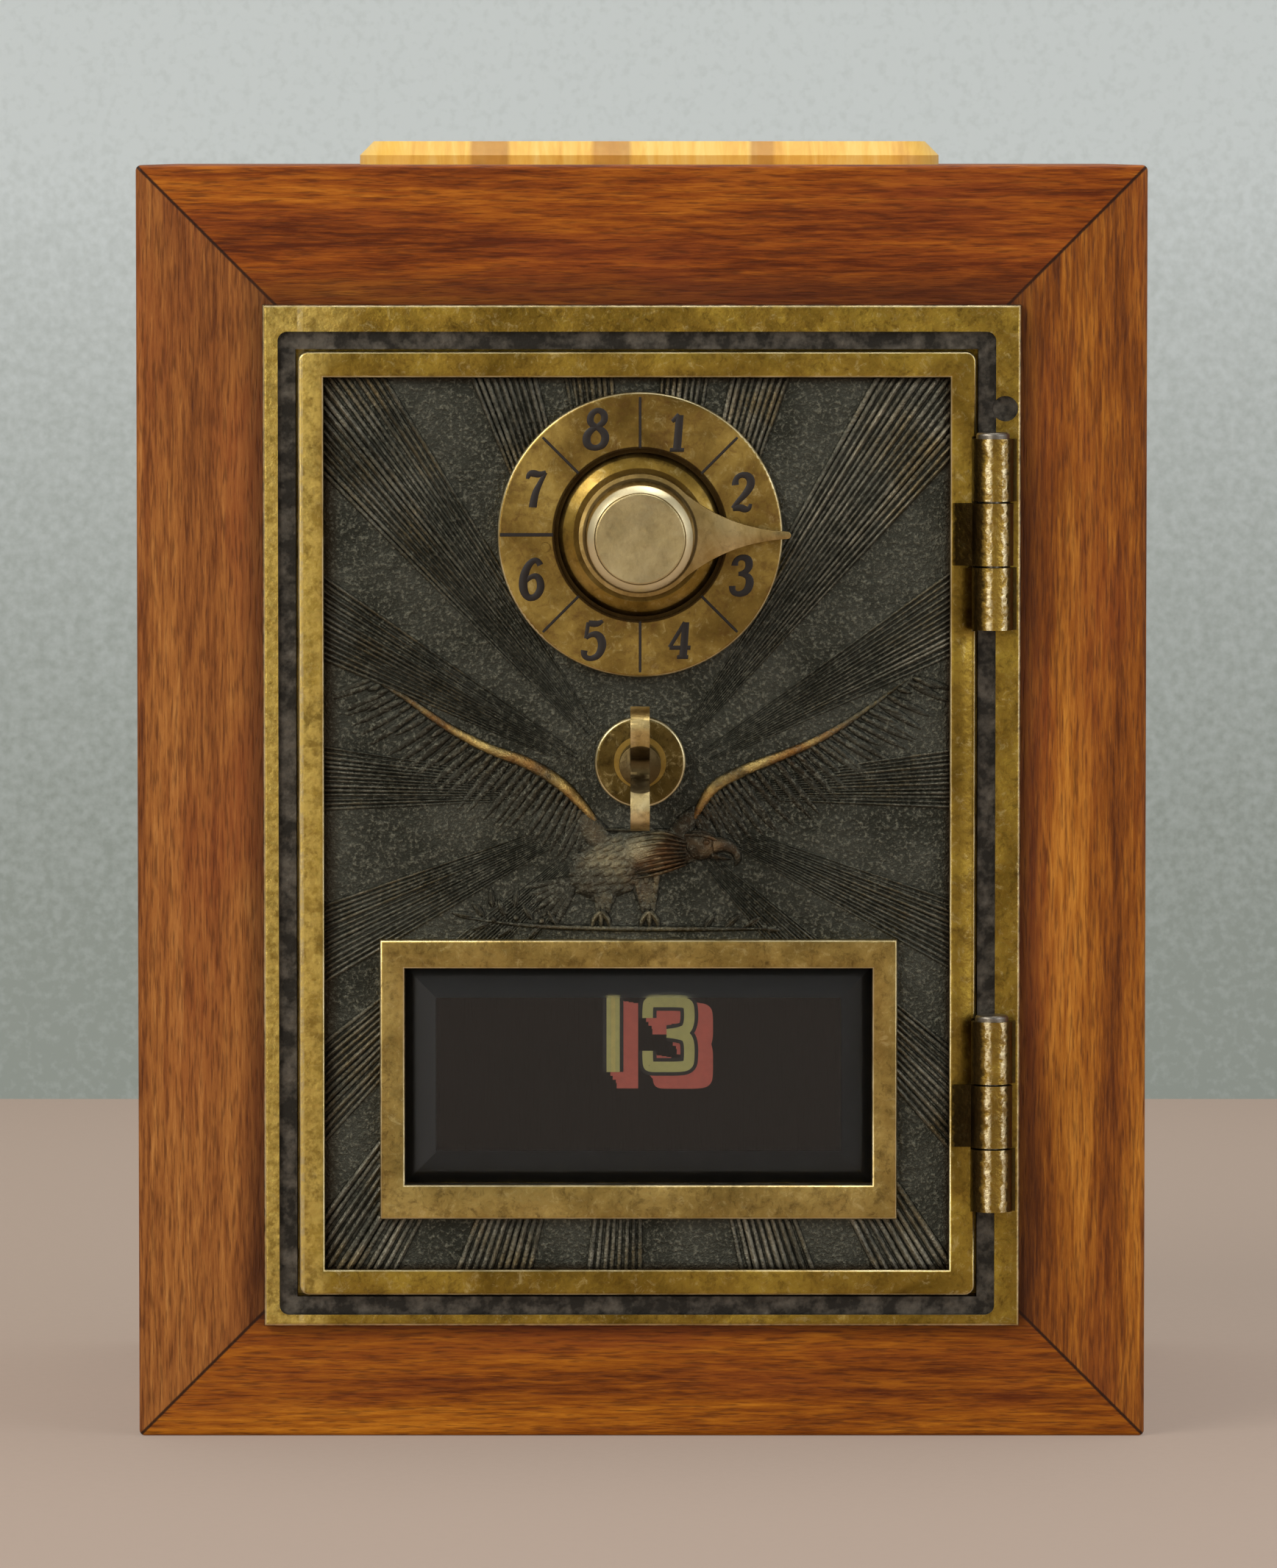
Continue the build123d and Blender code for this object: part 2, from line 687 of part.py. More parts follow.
with BuildPart() as cast_plate:
    with BuildSketch(facing(door_back_y)):
        with Locations((door_x, door_z)):
            RectangleRounded(door_width, door_height, door_corner_radius)
    extrude(amount=door_depth)
    fillet(cast_plate.faces().sort_by(Axis.Y)[0].edges(), rim_edge_radius)
    with BuildSketch(facing(door_back_y)):
        with Locations((door_x, door_z)):
            Rectangle(door_width - 2 * border_width, door_height - 2 * border_width)
    extrude(amount=door_back_y - plate_back_y, mode=Mode.SUBTRACT)
    with BuildSketch(facing(rim_front_y)):
        with Locations((door_x, door_z)):
            Rectangle(2 * field_half_width, 2 * field_half_height)
    extrude(amount=-field_recess, mode=Mode.SUBTRACT)
    # raised border round the window
    with BuildSketch(facing(field_y)):
        with Locations((window_x, (bezel_low_z + bezel_high_z) / 2)):
            Rectangle(2 * bezel_half_width, bezel_high_z - bezel_low_z)
    extrude(amount=bezel_height)
    bezel_face = cast_plate.faces().filter_by(Axis.Y).filter_by(
        lambda face: abs(face.center().Y - (field_y - bezel_height)) < bezel_edge_radius / 2
    )
    fillet(bezel_face.edges(), bezel_edge_radius)
    # middle knuckles of both hinges, each with its web onto the rim
    for hinge_height in hinge_heights:
        with BuildSketch(upright(hinge_x, hinge_y, hinge_height)):
            Circle(barrel_radius)
            with Locations((-web_reach / 2, rim_front_y + rim_edge_radius - hinge_y - web_thickness / 2)):
                Rectangle(web_reach, web_thickness)
        extrude(amount=(knuckle_length - knuckle_gap) / 2, both=True)
        with BuildSketch(upright(hinge_x, hinge_y, hinge_height)):
            Circle(pin_radius + running_clearance)
        extrude(amount=knuckle_length, both=True, mode=Mode.SUBTRACT)
        # room for the frame's knuckles
        for step in (-1, 1):
            with BuildSketch(upright(hinge_x, hinge_y, hinge_height + step * knuckle_length)):
                Circle(barrel_radius + swing_clearance)
            extrude(amount=(knuckle_length + knuckle_gap) / 2, both=True, mode=Mode.SUBTRACT)
    # window and the holes of both bushes
    with BuildSketch(facing(plate_back_y)):
        with Locations((window_x, window_z)):
            Rectangle(window_width, window_height)
        with Locations((spindle_x, dial_z)):
            Circle(bush_radius + fixed_clearance)
        with Locations((spindle_x, latch_z)):
            Circle(latch_bush_radius + fixed_clearance)
    extrude(amount=field_thickness + bezel_height, mode=Mode.SUBTRACT)
    # holes for the guides' and the retainer's screws
    with BuildSketch(facing(plate_back_y)):
        with Locations(*guide_screw_places, *retainer_screw_places):
            Circle(small_screw_radius + fixed_clearance)
    extrude(amount=screw_grip, mode=Mode.SUBTRACT)

with BuildPart() as door:
    add(cast_plate.part + sunburst.part + eagle.part)
keep(door, "door")

# pins of both hinges
for pin_name, hinge_height in zip(("hinge_pin_lower", "hinge_pin_upper"), hinge_heights):
    hinge_top = hinge_height + 1.5 * knuckle_length - knuckle_gap / 2
    hinge_bottom = hinge_height - 1.5 * knuckle_length + knuckle_gap / 2
    with BuildPart() as hinge_pin:
        with BuildSketch(upright(hinge_x, hinge_y, hinge_bottom)):
            Circle(pin_radius)
        extrude(amount=hinge_top - hinge_bottom)
        with BuildSketch(upright(hinge_x, hinge_y, hinge_top)):
            Circle(pin_head_radius)
        extrude(amount=pin_head_height)
        fillet(hinge_pin.edges().sort_by(Axis.Z)[-1], pin_head_height / 2)
    keep(hinge_pin, pin_name)

# ================================================================ dial
divider_outer = dial_radius - dial_edge_radius - divider_end_gap
divider_inner = dial_recess_radius - divider_end_gap
with BuildPart() as dial_plate:
    with BuildSketch(facing(field_y)):
        with Locations((spindle_x, dial_z)):
            Circle(dial_radius)
    extrude(amount=dial_thickness)
    fillet(dial_plate.faces().sort_by(Axis.Y)[0].edges(), dial_edge_radius)
    with BuildSketch(facing(dial_front_y)):
        with Locations((spindle_x, dial_z)):
            with PolarLocations((divider_outer + divider_inner) / 2, dial_sectors):
                Rectangle(divider_outer - divider_inner, divider_width)
    extrude(amount=-divider_depth, mode=Mode.SUBTRACT)
    with BuildSketch(facing(dial_front_y)):
        with Locations((spindle_x, dial_z)):
            Circle(dial_recess_radius)
    extrude(amount=-dial_recess_depth, mode=Mode.SUBTRACT)
    with BuildSketch(facing(field_y)):
        with Locations((spindle_x, dial_z)):
            Circle(bush_radius + fixed_clearance)
            with PolarLocations(rivet_circle, 2, start_angle=fly_lead / 2):
                Circle(rivet_radius + fixed_clearance)
    extrude(amount=dial_thickness, mode=Mode.SUBTRACT)
keep(dial_plate, "dial_plate")

with BuildPart() as dial_rivets:
    with BuildSketch(facing(field_y)):
        with Locations((spindle_x, dial_z)):
            with PolarLocations(rivet_circle, 2, start_angle=fly_lead / 2):
                Circle(rivet_radius)
    extrude(amount=dial_thickness + rivet_head)
keep(dial_rivets, "dial_rivets")

with BuildPart() as dial_bush:
    bush_plane = Plane(origin=(spindle_x, 0, dial_z), x_dir=(1, 0, 0), z_dir=(0, 0, 1))
    bore = dial_spindle_radius + running_clearance
    with BuildSketch(bush_plane):
        with BuildLine():
            Polyline(
                (bore, bush_ring_y),
                (bush_ring_top_radius, bush_ring_y),
                (bush_ring_radius, dial_recess_y),
                (bush_radius, dial_recess_y),
                (bush_radius, plate_back_y + bush_behind),
                (bore, plate_back_y + bush_behind),
                close=True,
            )
        make_face()
    revolve(axis=Axis((spindle_x, 0, dial_z), (0, 1, 0)))
keep(dial_bush, "dial_bush")

with BuildPart() as bush_nut:
    with BuildSketch(facing(plate_back_y + nut_thickness)):
        with Locations((spindle_x, dial_z)):
            RegularPolygon(nut_radius, 6)
            Circle(bush_radius + fixed_clearance, mode=Mode.SUBTRACT)
    extrude(amount=nut_thickness)
keep(bush_nut, "bush_nut")

with BuildPart() as pointer_knob:
    with BuildSketch(facing(pointer_back_y)):
        with Locations((spindle_x, dial_z)):
            Circle(hub_radius)
    extrude(amount=hub_thickness)
    # teardrop pointer: two concave flanks from the hub to the rounded tip
    root_x = hub_radius * cos(radians(pointer_root_angle))
    root_z = hub_radius * sin(radians(pointer_root_angle))
    tip_x = pointer_reach - pointer_tip_radius
    sag_x = (root_x + tip_x) / 2
    sag_z = root_z * pointer_sag
    pointer_plane = Plane(origin=(spindle_x, pointer_back_y, dial_z), x_dir=(1, 0, 0), z_dir=(0, -1, 0))
    with BuildSketch(pointer_plane):
        with BuildLine():
            upper = Spline((root_x, root_z), (sag_x, sag_z), (tip_x, pointer_tip_radius))
            tip = ThreePointArc(upper @ 1, (pointer_reach, 0), (tip_x, -pointer_tip_radius))
            lower = Spline(tip @ 1, (sag_x, -sag_z), (root_x, -root_z))
            Line(lower @ 1, upper @ 0)
        make_face()
    extrude(amount=hub_thickness)
    # the pointer thins towards its tip
    with BuildSketch(Plane.XY.offset(dial_z)):
        with BuildLine():
            Polyline(
                (spindle_x + hub_radius, pointer_back_y - hub_thickness),
                (spindle_x + pointer_reach + past, pointer_back_y - pointer_tip_thickness),
                (spindle_x + pointer_reach + past, pointer_back_y - hub_thickness - past),
                (spindle_x + hub_radius, pointer_back_y - hub_thickness - past),
                close=True,
            )
        make_face()
    extrude(amount=hub_radius, both=True, mode=Mode.SUBTRACT)
    # drum with a bevelled front edge, and the seat of its cap
    with BuildSketch(Plane(origin=(spindle_x, 0, dial_z), x_dir=(1, 0, 0), z_dir=(0, 0, 1))):
        with BuildLine():
            Polyline(
                (0, pointer_back_y - hub_thickness),
                (drum_radius, pointer_back_y - hub_thickness),
                (drum_top_radius, knob_front_y + drum_edge),
                (drum_top_radius - drum_edge, knob_front_y),
                (0, knob_front_y),
                close=True,
            )
        make_face()
    revolve(axis=Axis((spindle_x, 0, dial_z), (0, 1, 0)))
    with BuildSketch(facing(knob_front_y)):
        with Locations((spindle_x, dial_z)):
            Circle(cap_radius + fixed_clearance)
    extrude(amount=-(cap_thickness - cap_proud), mode=Mode.SUBTRACT)
    spindle_front_y = knob_front_y + spindle_blind
    with BuildSketch(facing(pointer_back_y)):
        with Locations((spindle_x, dial_z)):
            Circle(dial_spindle_radius + fixed_clearance)
    extrude(amount=pointer_back_y - spindle_front_y, mode=Mode.SUBTRACT)
keep(pointer_knob, "pointer_knob")

with BuildPart() as knob_cap:
    with BuildSketch(facing(knob_front_y + cap_thickness - cap_proud)):
        with Locations((spindle_x, dial_z)):
            Circle(cap_radius)
    extrude(amount=cap_thickness)
    fillet(knob_cap.faces().sort_by(Axis.Y)[0].edges(), cap_edge_radius)
keep(knob_cap, "knob_cap")

clip_front_y = cover_outer_y + clip_gap
spindle_back_y = clip_front_y + clip_thickness + spindle_past_clip
with BuildPart() as dial_spindle:
    with BuildSketch(facing(spindle_back_y)):
        with Locations((spindle_x, dial_z)):
            Circle(dial_spindle_radius)
    extrude(amount=spindle_back_y - spindle_front_y)
    chamfer(dial_spindle.edges().sort_by(Axis.Y)[-1], spindle_past_clip)
keep(dial_spindle, "dial_spindle")

with BuildPart() as spindle_clip:
    with BuildSketch(facing(clip_front_y + clip_thickness)):
        with Locations((spindle_x, dial_z)):
            Circle(clip_radius)
            Circle(dial_spindle_radius + fixed_clearance, mode=Mode.SUBTRACT)
            with Locations((0, -clip_radius)):
                Rectangle(dial_spindle_radius, 2 * (clip_radius - dial_spindle_radius), mode=Mode.SUBTRACT)
    extrude(amount=clip_thickness)
keep(spindle_clip, "spindle_clip")

# ================================================================ combination wheels
gap_ends = [plate_back_y + bush_behind] + [front + wheel_thickness for front in wheel_fronts]
gap_starts = wheel_fronts + [drive_front_y]
with BuildPart() as wheel_spacers:
    for start, end in zip(gap_ends, gap_starts):
        with BuildSketch(facing(end - axial_play)):
            with Locations((spindle_x, dial_z)):
                Circle(spacer_radius)
                Circle(dial_spindle_radius + fixed_clearance, mode=Mode.SUBTRACT)
        extrude(amount=end - start - 2 * axial_play)
keep(wheel_spacers, "wheel_spacers")

for number, wheel_front_y in enumerate(wheel_fronts, start=1):
    with BuildPart() as wheel:
        with BuildSketch(facing(wheel_front_y + wheel_thickness)):
            with Locations((spindle_x, dial_z)):
                Circle(wheel_radius)
                Circle(dial_spindle_radius + running_clearance, mode=Mode.SUBTRACT)
                with PolarLocations(relief_circle, relief_count):
                    Circle(relief_radius, mode=Mode.SUBTRACT)
            # the gate is an arc about the latch, so the finger swings through it
            with Locations((spindle_x, latch_z)):
                Circle(gate_radius, mode=Mode.SUBTRACT)
        extrude(amount=wheel_thickness)
        # fly on the back, which the next wheel picks up
        with BuildSketch(facing(wheel_front_y + wheel_thickness)):
            with Locations((spindle_x, dial_z)):
                with PolarLocations(fly_circle, 1, start_angle=90):
                    Circle(fly_radius)
        extrude(amount=-fly_height)
        if number > 1:
            with BuildSketch(facing(wheel_front_y)):
                with Locations((spindle_x, dial_z)):
                    with PolarLocations(fly_circle, 1, start_angle=90 + fly_lead):
                        Circle(fly_radius)
            extrude(amount=fly_height)
    keep(wheel, f"combination_wheel_{number}")

with BuildPart() as drive_cam:
    with BuildSketch(facing(drive_back_y)):
        with Locations((spindle_x, dial_z)):
            Circle(drive_cam_radius)
            Circle(dial_spindle_radius + fixed_clearance, mode=Mode.SUBTRACT)
    extrude(amount=wheel_thickness)
    with BuildSketch(facing(drive_front_y)):
        with Locations((spindle_x, dial_z)):
            with PolarLocations(fly_circle, 1, start_angle=90 + fly_lead):
                Circle(fly_radius)
    extrude(amount=fly_height)
keep(drive_cam, "drive_cam")

# ================================================================ turn latch
with BuildPart() as latch_rose:
    with BuildSketch(facing(field_y)):
        with Locations((spindle_x, latch_z)):
            Circle(rose_radius)
            Circle(latch_bush_radius + fixed_clearance, mode=Mode.SUBTRACT)
    extrude(amount=rose_thickness)
    fillet(latch_rose.faces().sort_by(Axis.Y)[0].outer_wire().edges(), rose_edge_radius)
keep(latch_rose, "latch_rose")

with BuildPart() as latch_bush:
    with BuildSketch(facing(plate_back_y + latch_bush_behind)):
        with Locations((spindle_x, latch_z)):
            Circle(latch_bush_radius)
            Circle(latch_spindle_radius + running_clearance, mode=Mode.SUBTRACT)
    extrude(amount=plate_back_y + latch_bush_behind - rose_front_y)
keep(latch_bush, "latch_bush")

with BuildPart() as thumb_turn:
    with BuildSketch(facing(stem_back_y)):
        with Locations((spindle_x, latch_z)):
            Circle(stem_radius)
    extrude(amount=stem_length + bow_waist / 2)
    # bow: two lobes either side of a waist, seen edge-on from the front
    with BuildSketch(Plane.YZ.offset(spindle_x)):
        with BuildLine():
            half_waist = bow_waist / 2
            upper_lobe = [
                (bow_back_y - bow_height * rise, latch_z + bow_width / 2 * reach)
                for rise, reach in bow_outline
            ]
            lower_lobe = [(y, 2 * latch_z - z) for y, z in reversed(upper_lobe[:-1])]
            waist_top = (bow_back_y, latch_z + half_waist)
            waist_bottom = (bow_back_y, latch_z - half_waist)
            Spline(waist_top, *upper_lobe, tangents=((0, 1), (0, -1)))
            Spline(upper_lobe[-1], *lower_lobe, waist_bottom, tangents=((0, -1), (0, 1)))
            Line(waist_bottom, waist_top)
        make_face()
    extrude(amount=bow_thickness / 2, both=True)
    with BuildSketch(facing(stem_back_y)):
        with Locations((spindle_x, latch_z)):
            Circle(latch_spindle_radius + fixed_clearance)
    extrude(amount=stem_length, mode=Mode.SUBTRACT)
keep(thumb_turn, "thumb_turn")

with BuildPart() as latch_spindle:
    with BuildSketch(facing(cam_back_y + rivet_stand)):
        with Locations((spindle_x, latch_z)):
            Circle(latch_spindle_radius)
    extrude(amount=cam_back_y + rivet_stand - (stem_back_y - stem_length))
keep(latch_spindle, "latch_spindle")

# The arm leans half of the latch's travel to the left of upright, and the crank pin is opposite.
with BuildPart() as latch_cam:
    with BuildSketch(facing(cam_back_y)):
        with Locations((spindle_x, latch_z)):
            Circle(cam_radius)
        with Locations(Location((spindle_x, latch_z), 90 + latch_angle / 2)):
            with Locations(((finger_reach - finger_thickness / 2) / 2, 0)):
                Rectangle(finger_reach - finger_thickness / 2, arm_width)
        with Locations((spindle_x, latch_z)):
            Circle(latch_spindle_radius + fixed_clearance, mode=Mode.SUBTRACT)
        with Locations((crank_x, crank_rest_z)):
            Circle(crank_pin_radius + fixed_clearance, mode=Mode.SUBTRACT)
    extrude(amount=cam_thickness)
    with BuildSketch(facing(finger_back_y)):
        with Locations(Location((spindle_x, latch_z), 90 + latch_angle / 2)):
            with Locations((finger_reach - finger_thickness / 2, 0)):
                Rectangle(finger_thickness, finger_width)
        with Locations((spindle_x, latch_z)):
            Circle(finger_reach, mode=Mode.INTERSECT)
    extrude(amount=finger_back_y - cam_front_y)
keep(latch_cam, "latch_cam")

with BuildPart() as crank_pin:
    with BuildSketch(facing(bolt_back_y)):
        with Locations((crank_x, crank_rest_z)):
            Circle(crank_pin_radius)
    extrude(amount=bolt_back_y - cam_front_y)
keep(crank_pin, "crank_pin")

# ================================================================ bolt and its guides
with BuildPart() as latch_bolt:
    with BuildSketch(facing(bolt_back_y)):
        with Locations(((bolt_tip_x + bolt_tail_x) / 2, bolt_z)):
            Rectangle(bolt_tail_x - bolt_tip_x, bolt_height)
    extrude(amount=bolt_thickness)
    chamfer(latch_bolt.faces().sort_by(Axis.X)[0].edges().filter_by(Axis.Z), bolt_bevel)
    slot_top = crank_rest_z + crank_pin_radius + slot_clearance
    slot_bottom = latch_z - crank_throw - crank_pin_radius - slot_clearance
    with BuildSketch(facing(bolt_back_y)):
        with Locations((crank_x, (slot_top + slot_bottom) / 2)):
            Rectangle(2 * (crank_pin_radius + slot_clearance), slot_top - slot_bottom)
    extrude(amount=bolt_thickness, mode=Mode.SUBTRACT)
keep(latch_bolt, "latch_bolt")

with BuildPart() as bolt_guides:
    for guide_x in guide_centres:
        with BuildSketch(facing(guide_back_y)):
            with Locations((guide_x, bolt_z)):
                Rectangle(guide_length, bolt_height + 2 * (guide_play + guide_wall))
        extrude(amount=guide_back_y - plate_back_y)
        with BuildSketch(facing(plate_back_y + foot_thickness)):
            with Locations((guide_x, foot_z)):
                Rectangle(foot_length, foot_height)
                with GridLocations(foot_screw_pitch, 0, 2, 1):
                    Circle(small_screw_radius + fixed_clearance, mode=Mode.SUBTRACT)
        extrude(amount=foot_thickness)
    with BuildSketch(facing(bolt_back_y + guide_play)):
        for guide_x in guide_centres:
            with Locations((guide_x, bolt_z)):
                Rectangle(guide_length, bolt_height + 2 * guide_play)
    extrude(amount=bolt_thickness + 2 * guide_play, mode=Mode.SUBTRACT)
keep(bolt_guides, "bolt_guides")


def slotted_screws(places, seat_y, tip_y):
    """Screws with slotted cheese heads on a seat that faces the back, driven towards the front."""
    with BuildPart() as screws:
        with BuildSketch(facing(seat_y + small_head_height)):
            with Locations(*places):
                Circle(small_head_radius)
        extrude(amount=small_head_height)
        with BuildSketch(facing(seat_y)):
            with Locations(*places):
                Circle(small_screw_radius)
        extrude(amount=seat_y - tip_y)
        with BuildSketch(facing(seat_y + small_head_height)):
            with Locations(*places):
                Rectangle(2 * small_head_radius, slot_width)
        extrude(amount=-slot_depth, mode=Mode.SUBTRACT)
    return screws


guide_screws = slotted_screws(guide_screw_places, plate_back_y + foot_thickness, plate_back_y - screw_grip)
keep(guide_screws, "guide_screws")

# ================================================================ glass and its retainer
with BuildPart() as window_glass:
    bevel_width = glass_bevel + glass_lap
    bevel_depth = bevel_width * glass_bevel_slope
    with BuildSketch(facing(glass_back_y)):
        with Locations((window_x, window_z)):
            Rectangle(glass_width, glass_height)
    extrude(amount=glass_thickness)
    front_edges = window_glass.faces().sort_by(Axis.Y)[0].edges()
    chamfer(front_edges, bevel_width, bevel_depth, reference=window_glass.faces().sort_by(Axis.Y)[0])
keep(window_glass, "window_glass")

with BuildPart() as glass_retainer:
    with BuildSketch(facing(retainer_back_y)):
        with Locations((window_x, window_z)):
            Rectangle(retainer_width, retainer_height)
            Rectangle(
                glass_width - 2 * (glass_lap + retainer_lap),
                glass_height - 2 * (glass_lap + retainer_lap),
                mode=Mode.SUBTRACT,
            )
            with GridLocations(2 * retainer_screw_x, 2 * retainer_screw_z, 2, 2):
                Circle(small_screw_radius + fixed_clearance, mode=Mode.SUBTRACT)
    extrude(amount=retainer_back_y - plate_back_y)
    with BuildSketch(facing(glass_back_y)):
        with Locations((window_x, window_z)):
            Rectangle(glass_width + 2 * glass_play, glass_height + 2 * glass_play)
    extrude(amount=glass_back_y - plate_back_y, mode=Mode.SUBTRACT)
keep(glass_retainer, "glass_retainer")

retainer_screws = slotted_screws(retainer_screw_places, retainer_back_y, plate_back_y - screw_grip)
keep(retainer_screws, "retainer_screws")

# ================================================================ lock cover
cover_mid_z = (cover_low_z + cover_high_z) / 2
cover_height = cover_high_z - cover_low_z
post_pitch_x = 2 * (cover_half_width - post_inset)
post_pitch_z = cover_height - 2 * post_inset
with BuildPart() as lock_cover:
    with BuildSketch(facing(cover_outer_y)):
        with Locations((spindle_x, cover_mid_z)):
            Rectangle(2 * cover_half_width, cover_height)
    extrude(amount=cover_outer_y - plate_back_y)
    fillet(lock_cover.faces().sort_by(Axis.Y)[-1].edges(), cover_edge_radius)
    with BuildSketch(facing(cover_inner_y)):
        with Locations((spindle_x, cover_mid_z)):
            Rectangle(2 * (cover_half_width - cover_wall), cover_height - 2 * cover_wall)
    extrude(amount=cover_inner_y - plate_back_y, mode=Mode.SUBTRACT)
    # spindle bearing and screw holes in the back
    with BuildSketch(facing(cover_outer_y)):
        with Locations((spindle_x, dial_z)):
            Circle(dial_spindle_radius + running_clearance)
        with Locations((spindle_x, cover_mid_z)):
            with GridLocations(post_pitch_x, post_pitch_z, 2, 2):
                Circle(small_screw_radius + fixed_clearance)
    extrude(amount=cover_wall, mode=Mode.SUBTRACT)
    # way out for the bolt
    with BuildSketch(facing(bolt_back_y + cover_slot_play)):
        with Locations((spindle_x - cover_half_width, bolt_z)):
            Rectangle(4 * cover_wall, bolt_height + 2 * cover_slot_play)
    extrude(amount=bolt_thickness + 2 * cover_slot_play, mode=Mode.SUBTRACT)
keep(lock_cover, "lock_cover")

post_places = [
    (spindle_x + side_x * post_pitch_x / 2, cover_mid_z + side_z * post_pitch_z / 2)
    for side_x in (-1, 1)
    for side_z in (-1, 1)
]
with BuildPart() as cover_posts:
    for post_x, post_z in post_places:
        with BuildSketch(facing(cover_inner_y)):
            with Locations((post_x, post_z)):
                Circle(post_radius)
        extrude(amount=cover_inner_y - plate_back_y)
        with BuildSketch(facing(cover_inner_y)):
            with Locations((post_x, post_z)):
                Circle(small_screw_radius + fixed_clearance)
        extrude(amount=(cover_inner_y - plate_back_y) / 2, mode=Mode.SUBTRACT)
keep(cover_posts, "cover_posts")

cover_screws = slotted_screws(post_places, cover_outer_y, cover_inner_y - (cover_inner_y - plate_back_y) / 3)
keep(cover_screws, "cover_screws")

os.makedirs("parts", exist_ok=True)
for piece in pieces:
    export_step(piece.part, f"parts/{piece.part.label}.step")
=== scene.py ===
"""A brass post office box door hung in a mitred walnut case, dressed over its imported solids."""
import math
import random

import bmesh
import bpy
from mathutils import Matrix, Vector, noise


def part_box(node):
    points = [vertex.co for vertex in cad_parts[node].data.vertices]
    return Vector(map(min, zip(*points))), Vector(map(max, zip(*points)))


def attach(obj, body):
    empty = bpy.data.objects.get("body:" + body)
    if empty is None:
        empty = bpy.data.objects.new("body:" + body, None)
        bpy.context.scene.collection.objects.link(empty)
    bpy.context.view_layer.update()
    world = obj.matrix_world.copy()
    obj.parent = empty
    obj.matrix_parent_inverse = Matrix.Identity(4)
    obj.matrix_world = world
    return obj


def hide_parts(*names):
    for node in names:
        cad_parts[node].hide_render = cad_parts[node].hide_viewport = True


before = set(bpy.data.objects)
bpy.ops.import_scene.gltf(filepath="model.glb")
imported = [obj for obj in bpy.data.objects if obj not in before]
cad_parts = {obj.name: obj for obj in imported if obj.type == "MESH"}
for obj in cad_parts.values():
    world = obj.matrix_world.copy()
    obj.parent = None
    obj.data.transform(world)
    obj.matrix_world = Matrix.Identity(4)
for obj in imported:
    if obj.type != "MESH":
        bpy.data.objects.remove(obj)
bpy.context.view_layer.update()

# Sizes below are in millimetres, in the part's own frame, and are turned to metres as meshes are made.
MM = 0.001
TOUCH = 0.01  # what lies closer than this touches
CASE_HALF_WIDTH = 63.5
CASE_HALF_HEIGHT = 80.2
SPINDLE_X = -0.2
DIAL_Z = 114.1
LATCH_Z = 85.5
SUN_Z = 81.3  # the middle that the sunburst's ridges point at

# depths on the door, which faces the lower end of Y
DIAL_Y = -53.5  # the dial's face
BORDER_Y = -53.4  # the face of the window's border
RIM_Y = -53.3
ROSE_Y = -53.2
LIP_Y = -52.8  # the face of the frame's lip
FIELD_Y = -51.7  # the sunk field
BACK_OF_GRIME = -50.6  # no dark oxide behind this depth
GLASS_BACK_Y = -47.68

# places on the door, in x and z
DOOR_LEFT = -43.1  # the edge that opens
FIELD_LOW = Vector((-39.9, 21.4))
FIELD_HIGH = Vector((38.7, 133.8))
BORDER_LOW = Vector((-32.95, 27.8))  # the raised border round the window
BORDER_HIGH = Vector((32.15, 63.1))
WINDOW_LOW = Vector((-29.85, 32.1))
WINDOW_HIGH = Vector((29.05, 59.5))
GLASS_BEVEL = 3.9  # how much of the glass's bevel shows inside the opening

random.seed(13)


# ------------------------------------------------------------------ small tools
def linear(code):
    """An sRGB hex colour as linear red, green and blue, with an alpha of 1."""
    channels = [int(code[i : i + 2], 16) / 255 for i in (1, 3, 5)]
    return tuple(c / 12.92 if c <= 0.04045 else ((c + 0.055) / 1.055) ** 2.4 for c in channels) + (1.0,)


def add_node(tree, kind, inputs=(), stops=None, **settings):
    """Add a shader node, set its settings, set or link its inputs, and fill its colour ramp.

    Inputs are listed in the order of the node's sockets, or given by a socket's name or number. A
    node that is given as an input is linked by its first live output, and a hex code is a colour."""
    made = tree.nodes.new("ShaderNode" + kind)
    for name, value in settings.items():
        setattr(made, name, value)
    for name, value in inputs.items() if isinstance(inputs, dict) else enumerate(inputs):
        if isinstance(value, bpy.types.Node):
            value = next(socket for socket in value.outputs if socket.enabled)
        if isinstance(value, bpy.types.NodeSocket):
            tree.links.new(value, made.inputs[name])
        else:
            made.inputs[name].default_value = linear(value) if isinstance(value, str) else value
    if stops:
        ramp = made.color_ramp
        while len(ramp.elements) < len(stops):
            ramp.elements.new(0.5)
        for element, (place, code) in zip(ramp.elements, stops):
            element.position = place
            element.color = linear(code)
    return made


def new_material(name):
    """A new material and its empty node tree."""
    material = bpy.data.materials.new(name)
    material.use_nodes = True
    material.node_tree.nodes.clear()
    return material, material.node_tree


def start_material(name):
    """A new material with its node tree, and the object's own coordinates in millimetres."""
    material, tree = new_material(name)
    place = add_node(tree, "TexCoord").outputs["Object"]
    return material, tree, add_node(tree, "VectorMath", {0: place, 3: 1 / MM}, operation="SCALE")


def finish_material(tree, looks, reliefs):
    """The Principled shader that ends a material, with its looks by socket, and bumps for its
    reliefs, each a height and how many millimetres deep it goes."""
    under = {}
    for height, depth in reliefs:
        inputs = {"Height": height, "Distance": depth * MM, "Strength": 1.0}
        under = {"Normal": add_node(tree, "Bump", inputs | under)}
    shader = add_node(tree, "BsdfPrincipled", looks | under)
    add_node(tree, "OutputMaterial", {"Surface": shader})


